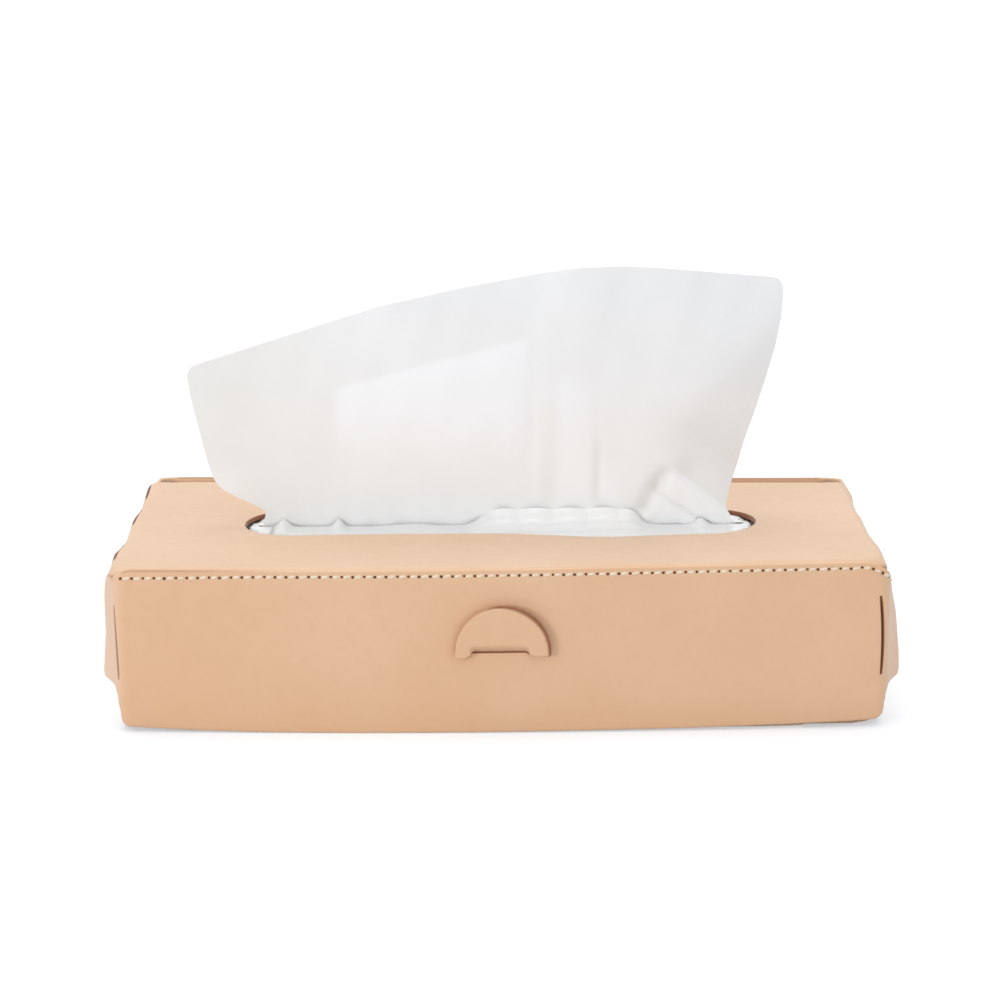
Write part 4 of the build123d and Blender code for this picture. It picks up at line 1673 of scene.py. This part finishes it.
    def build(self) -> None:
        low = self.tail_low - self.sizes.top
        share = np.linspace(0, 1, self.columns)
        top = np.full(self.columns, 70.0)
        for _ in range(14):
            x = self.across(top, share, 1.0)
            top = 0.5 * top + 0.5 * soft_table(x, self.top_places, self.top_heights, 0.9)
        h = low + np.linspace(0, 1, self.rows)[:, None] * (top[None] - low)
        x = self.across(h, share, 1.2)
        y = self.depth(x, h)
        away = y / -self.eye[1]
        z = self.sizes.top + h + (self.sizes.top + h - self.eye[2]) * away * np.clip(h / 20, 0, 1)
        surface = np.stack([x + (x - self.eye[0]) * away, y, z], 2)
        piece = thin_shell("standing_tissue", surface, self.thickness, fold=self.painted_shading(x, h))
        dress(piece, self.finish.material(), Slot.TISSUE, "pulled_tissue")
        tail, top = (0, 0, (self.tail_low + 1) * MM), (0, 0, self.sizes.top * MM)
        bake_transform(piece)


@dataclass
class Film:
    """The carton's film: level under the case's top, drawn up in soft scallops round the tissue's foot."""

    finish: FilmFinish
    level: float
    opening_centre: float
    opening_half_width: float
    half_slit: float = 83.6
    lip: float = 0.8
    reach: float = 27.0
    raised: float = 54.9
    lip_height: float = 55.1
    bead: float = 0.45
    tall_height: float = 60.6
    crests: tuple[Size, ...] = ((-75.3, 2.7, 2.2), (-56.2, 2.6, 1.8), (-30, 0.8, 9), (69.5, 2.4, 2.4))
    thickness: float = 0.08
    around: int = 640
    across: int = 44

    def track(self) -> tuple[Array, Array]:
        """Follows the slit once round.

        Returns:
            The place along the slit that each point of the track starts from, and the direction that the film
            leads away in.
        """
        straight, cap = 2 * self.half_slit, math.pi * self.lip
        s = np.linspace(0, 2 * straight + 2 * cap, self.around, endpoint=False)
        parts = [s < straight, s < straight + cap, s < 2 * straight + cap]
        places = [s - self.half_slit, self.half_slit, self.half_slit - (s - straight - cap)]
        base = np.select(parts, places, -self.half_slit)
        quarter = math.pi / 2
        right, left = (s - straight) / self.lip - quarter, (s - 2 * straight - cap) / self.lip + quarter
        return base, np.select(parts, [-quarter, right, quarter], left)

    def build(self) -> None:
        """Shapes and dresses the film."""
        base, angle = self.track()
        past = np.clip(np.abs(base) - self.opening_centre, 0, None)
        room = self.opening_half_width - 1.3
        edge = np.sqrt(room**2 - (past * np.sin(angle)) ** 2) - past * np.abs(np.cos(angle))
        radius = self.lip + np.linspace(0, 1, self.across)[:, None] ** 1.3 * (self.reach - self.lip)
        tall = window(base, -7, 48, 4, 3) * (angle < 0)
        scallop = 0.8 * np.abs(np.sin((base + 5) * math.pi / 11.6)) * tall
        crest = sum(high * ridge(base, x, wide) for x, high, wide in self.crests) * (angle < 0)
        height = self.lip_height + (self.tall_height - self.lip_height) * tall + scallop + crest - self.raised
        part = np.clip(1 - (radius - self.lip) / np.maximum(edge - 1.5 - self.lip, 1.0), 0, 1)
        z = self.level + (self.raised - self.level) * smooth(np.clip((edge + 2.0 - radius) / 2.6, 0, 1))
        z = z + height * part**1.6
        z = z + 0.2 * np.sin(radius * 1.5 + base * 0.06) * part * (1 - part) * 4 * tall
        wave = 0.35 * np.sin(base * 0.54 + 1.0) * part**2
        x = base + (radius + wave) * np.cos(angle)
        y = (radius + wave) * np.sin(angle)
        inward = ridge(radius, edge - 2.6, 1.1) * soft_step(-y, 2.0)
        z = z + self.bead * inward
        # Painted glints: the crests' tips turn milky white.
        painted_glint = np.clip((z - 57.2) / 1.2, 0, 1) * (1 - tall)
        front = 0.75 * soft_step(-y - 0.5, 1.0)
        # The bead is milky partly as a painted highlight for its bright rim.
        places = [front, tall * part**0.3, soft_step(np.abs(x) - 79, 0.8), inward, painted_glint]
        milk = 0.2 + 0.8 * np.maximum.reduce(places)
        # The film clears near x 75.5 so that the dark inside shows, and in a thin line at x -79 as painted
        # shade for the shadow by the tissue's left foot.
        gap = 0.95 * ridge(x, 75.5, 2.4) * soft_step(y - 1, 1.5)
        milk = np.clip(milk * (1 - gap - 0.6 * ridge(x, -79.0, 0.8)), 0, 1)
        surface = np.stack([x, y, z], 2)
        piece = thin_shell("carton_film_sheet", surface, self.thickness, closed=True, fold=milk)
        dress(piece, self.finish.material(), Slot.FILM, "carton_film")
        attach(piece, Body.CASE.value)


@dataclass
class Carton:
    """The paper carton and the pile of tissues in it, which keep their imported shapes."""

    tissue: TissueFinish
    layers: int = 26
    corner: float = 3.0
    edge_round: float = 0.5
    end_inset: float = 2.0

    def build(self) -> None:
        """Dresses the carton and makes the layered pile."""
        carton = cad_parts["tissue_carton"]
        material = BOARD.material()
        carton.data.materials.clear()
        carton.data.materials.append(material)
        log.info("tissue_carton: packed shape, %s", material.name)
        low, high = (np.array(end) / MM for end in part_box("tissue_stack"))
        step = (high[2] - low[2]) / self.layers
        heights, insets = [low[2]], [self.end_inset]
        for number in range(self.layers):
            heights += [low[2] + (number + part) * step for part in (0.12, 0.5, 0.88)]
            insets += [self.edge_round, 0.0, self.edge_round]
        heights.append(high[2])
        insets.append(self.end_inset)
        turn = np.radians(np.linspace(0, 360, 48, endpoint=False))
        half, middle = (high - low) / 2, (high + low) / 2
        rings = []
        for height, inset in zip(heights, insets):
            reach = half[:2] - self.corner - inset
            x = middle[0] + np.sign(np.cos(turn)) * reach[0] + self.corner * np.cos(turn)
            y = middle[1] + np.sign(np.sin(turn)) * reach[1] + self.corner * np.sin(turn)
            rings.append(np.stack([x, y, np.full(len(turn), height)], 1))
        points = np.vstack(rings)
        count = len(turn)
        faces = [tuple(range(count))[::-1], tuple(range(len(points) - count, len(points)))]
        for first in range(0, len(points) - count, count):
            for i in range(count):
                a, b = first + i, first + (i + 1) % count
                faces.append((a, b, b + count, a + count))
        piece = mesh_object("tissue_pile", points, faces)
        dress(piece, self.tissue.material(), Slot.TISSUE, "tissue_stack")
        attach(piece, Body.CASE.value)


@dataclass
class Studio:
    """Pale floor, soft light and the photograph's camera."""

    camera_place: Size = (-0.008, -0.947, 0.305)
    camera_way: Size = (0.008, 0.969, -0.24665)
    camera_roll: float = -0.25
    lens: float = 101.3
    sky: float = 0.93
    key_power: float = 5.2
    top_power: float = 5.6

    def place(self, name: str, data: Any) -> Any:
        """Links a new object to the scene.

        Args:
            name: Name of the object.
            data: Its mesh, light or camera.

        Returns:
            The object.
        """
        made = bpy.data.objects.new(name, data)
        bpy.context.scene.collection.objects.link(made)
        return made

    def floor(self) -> None:
        """Makes the floor: pale, white to the camera, with the object's shadow kept."""
        work = bmesh.new()
        bmesh.ops.create_grid(work, x_segments=1, y_segments=1, size=6.0)
        mesh = bpy.data.meshes.new("floor")
        work.to_mesh(mesh)
        work.free()
        mesh.materials.append(FloorFinish().material())
        self.place("floor", mesh)

    def world(self) -> None:
        """Makes the soft white surroundings, plain white to the camera and in reflections."""
        world = bpy.data.worlds.new("studio_white")
        bpy.context.scene.world = world
        world.use_nodes = True
        tree = world.node_tree
        tree.nodes.clear()
        rays = add_node(tree, "ShaderNodeLightPath").outputs
        clear = rays["Is Camera Ray"]
        for kind in ("Is Glossy Ray", "Is Transmission Ray"):
            clear = add_node(tree, "ShaderNodeMath", [clear, rays[kind]], "Value", operation="MAXIMUM")
        strength = add_node(tree, "ShaderNodeMapRange", [clear, 0.0, 1.0, self.sky, 1.0], "Result")
        white = {"Color": (1, 1, 1, 1), "Strength": strength}
        shade = add_node(tree, "ShaderNodeBackground", white, "Background")
        add_node(tree, "ShaderNodeOutputWorld", {"Surface": shade})

    def lamp(self, name: str, place: Size, size: float, power: float) -> None:
        """Adds a soft square lamp that points at the case.

        Args:
            name: Name of the lamp.
            place: Where it stands, in metres.
            size: Its side in metres.
            power: Its power in watts.
        """
        data = bpy.data.lights.new(name, "AREA")
        data.shape = "SQUARE"
        data.size = size
        data.energy = power
        lamp = self.place(name, data)
        lamp.location = place
        aim = Vector((0, 0, 0.04)) - Vector(place)
        lamp.rotation_euler = aim.to_track_quat("-Z", "Y").to_euler()

    def camera(self) -> None:
        """Sets the photograph's camera."""
        data = bpy.data.cameras.new("photo_camera")
        data.lens = self.lens
        data.sensor_width = 36.0
        camera = self.place("photo_camera", data)
        camera.location = self.camera_place
        roll = Quaternion((0, 0, 1), math.radians(self.camera_roll))
        camera.rotation_euler = (Vector(self.camera_way).to_track_quat("-Z", "Y") @ roll).to_euler()
        bpy.context.scene.camera = camera

    def build(self) -> None:
        """Sets up floor, light and camera."""
        self.floor()
        self.world()
        self.lamp("key_lamp", (-1.1, -1.2, 0.3), 0.32, self.key_power)
        self.lamp("top_lamp", (-0.1, 0.35, 1.5), 0.9, self.top_power)
        self.camera()
        bpy.context.scene.view_settings.view_transform = "Standard"


def main() -> None:
    """Builds the object piece by piece, then the studio round it."""
    sizes = CaseSizes.from_frame()
    # One leather in two tone copies: the front's more saturated, the rest paler as painted sheen. The front
    # also gets painted shade at its foot and a painted highlight on its ears.
    front_finish = LeatherFinish(
        "veg_tanned_front_leather", "#E2B690", "#E5BC98", "#DBAC84", foot_shade_share=0.12, ear_highlight_share=0.2
    )
    leather = LeatherCase(sizes, LeatherFinish(), front_finish)
    leather.build()
    Stitching(leather).build()
    stack_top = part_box("tissue_stack")[1].z / MM
    film_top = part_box("carton_film")[1].z / MM
    centre = leather.opening_half_length - leather.opening_half_width
    Film(FilmFinish(), film_top, centre, leather.opening_half_width).build()
    Tissue(sizes, TissueFinish(), stack_top + 0.3).build()
    Carton(TissueFinish(name="folded_tissue")).build()
    Studio().build()


if __name__ == "__main__":
    main()
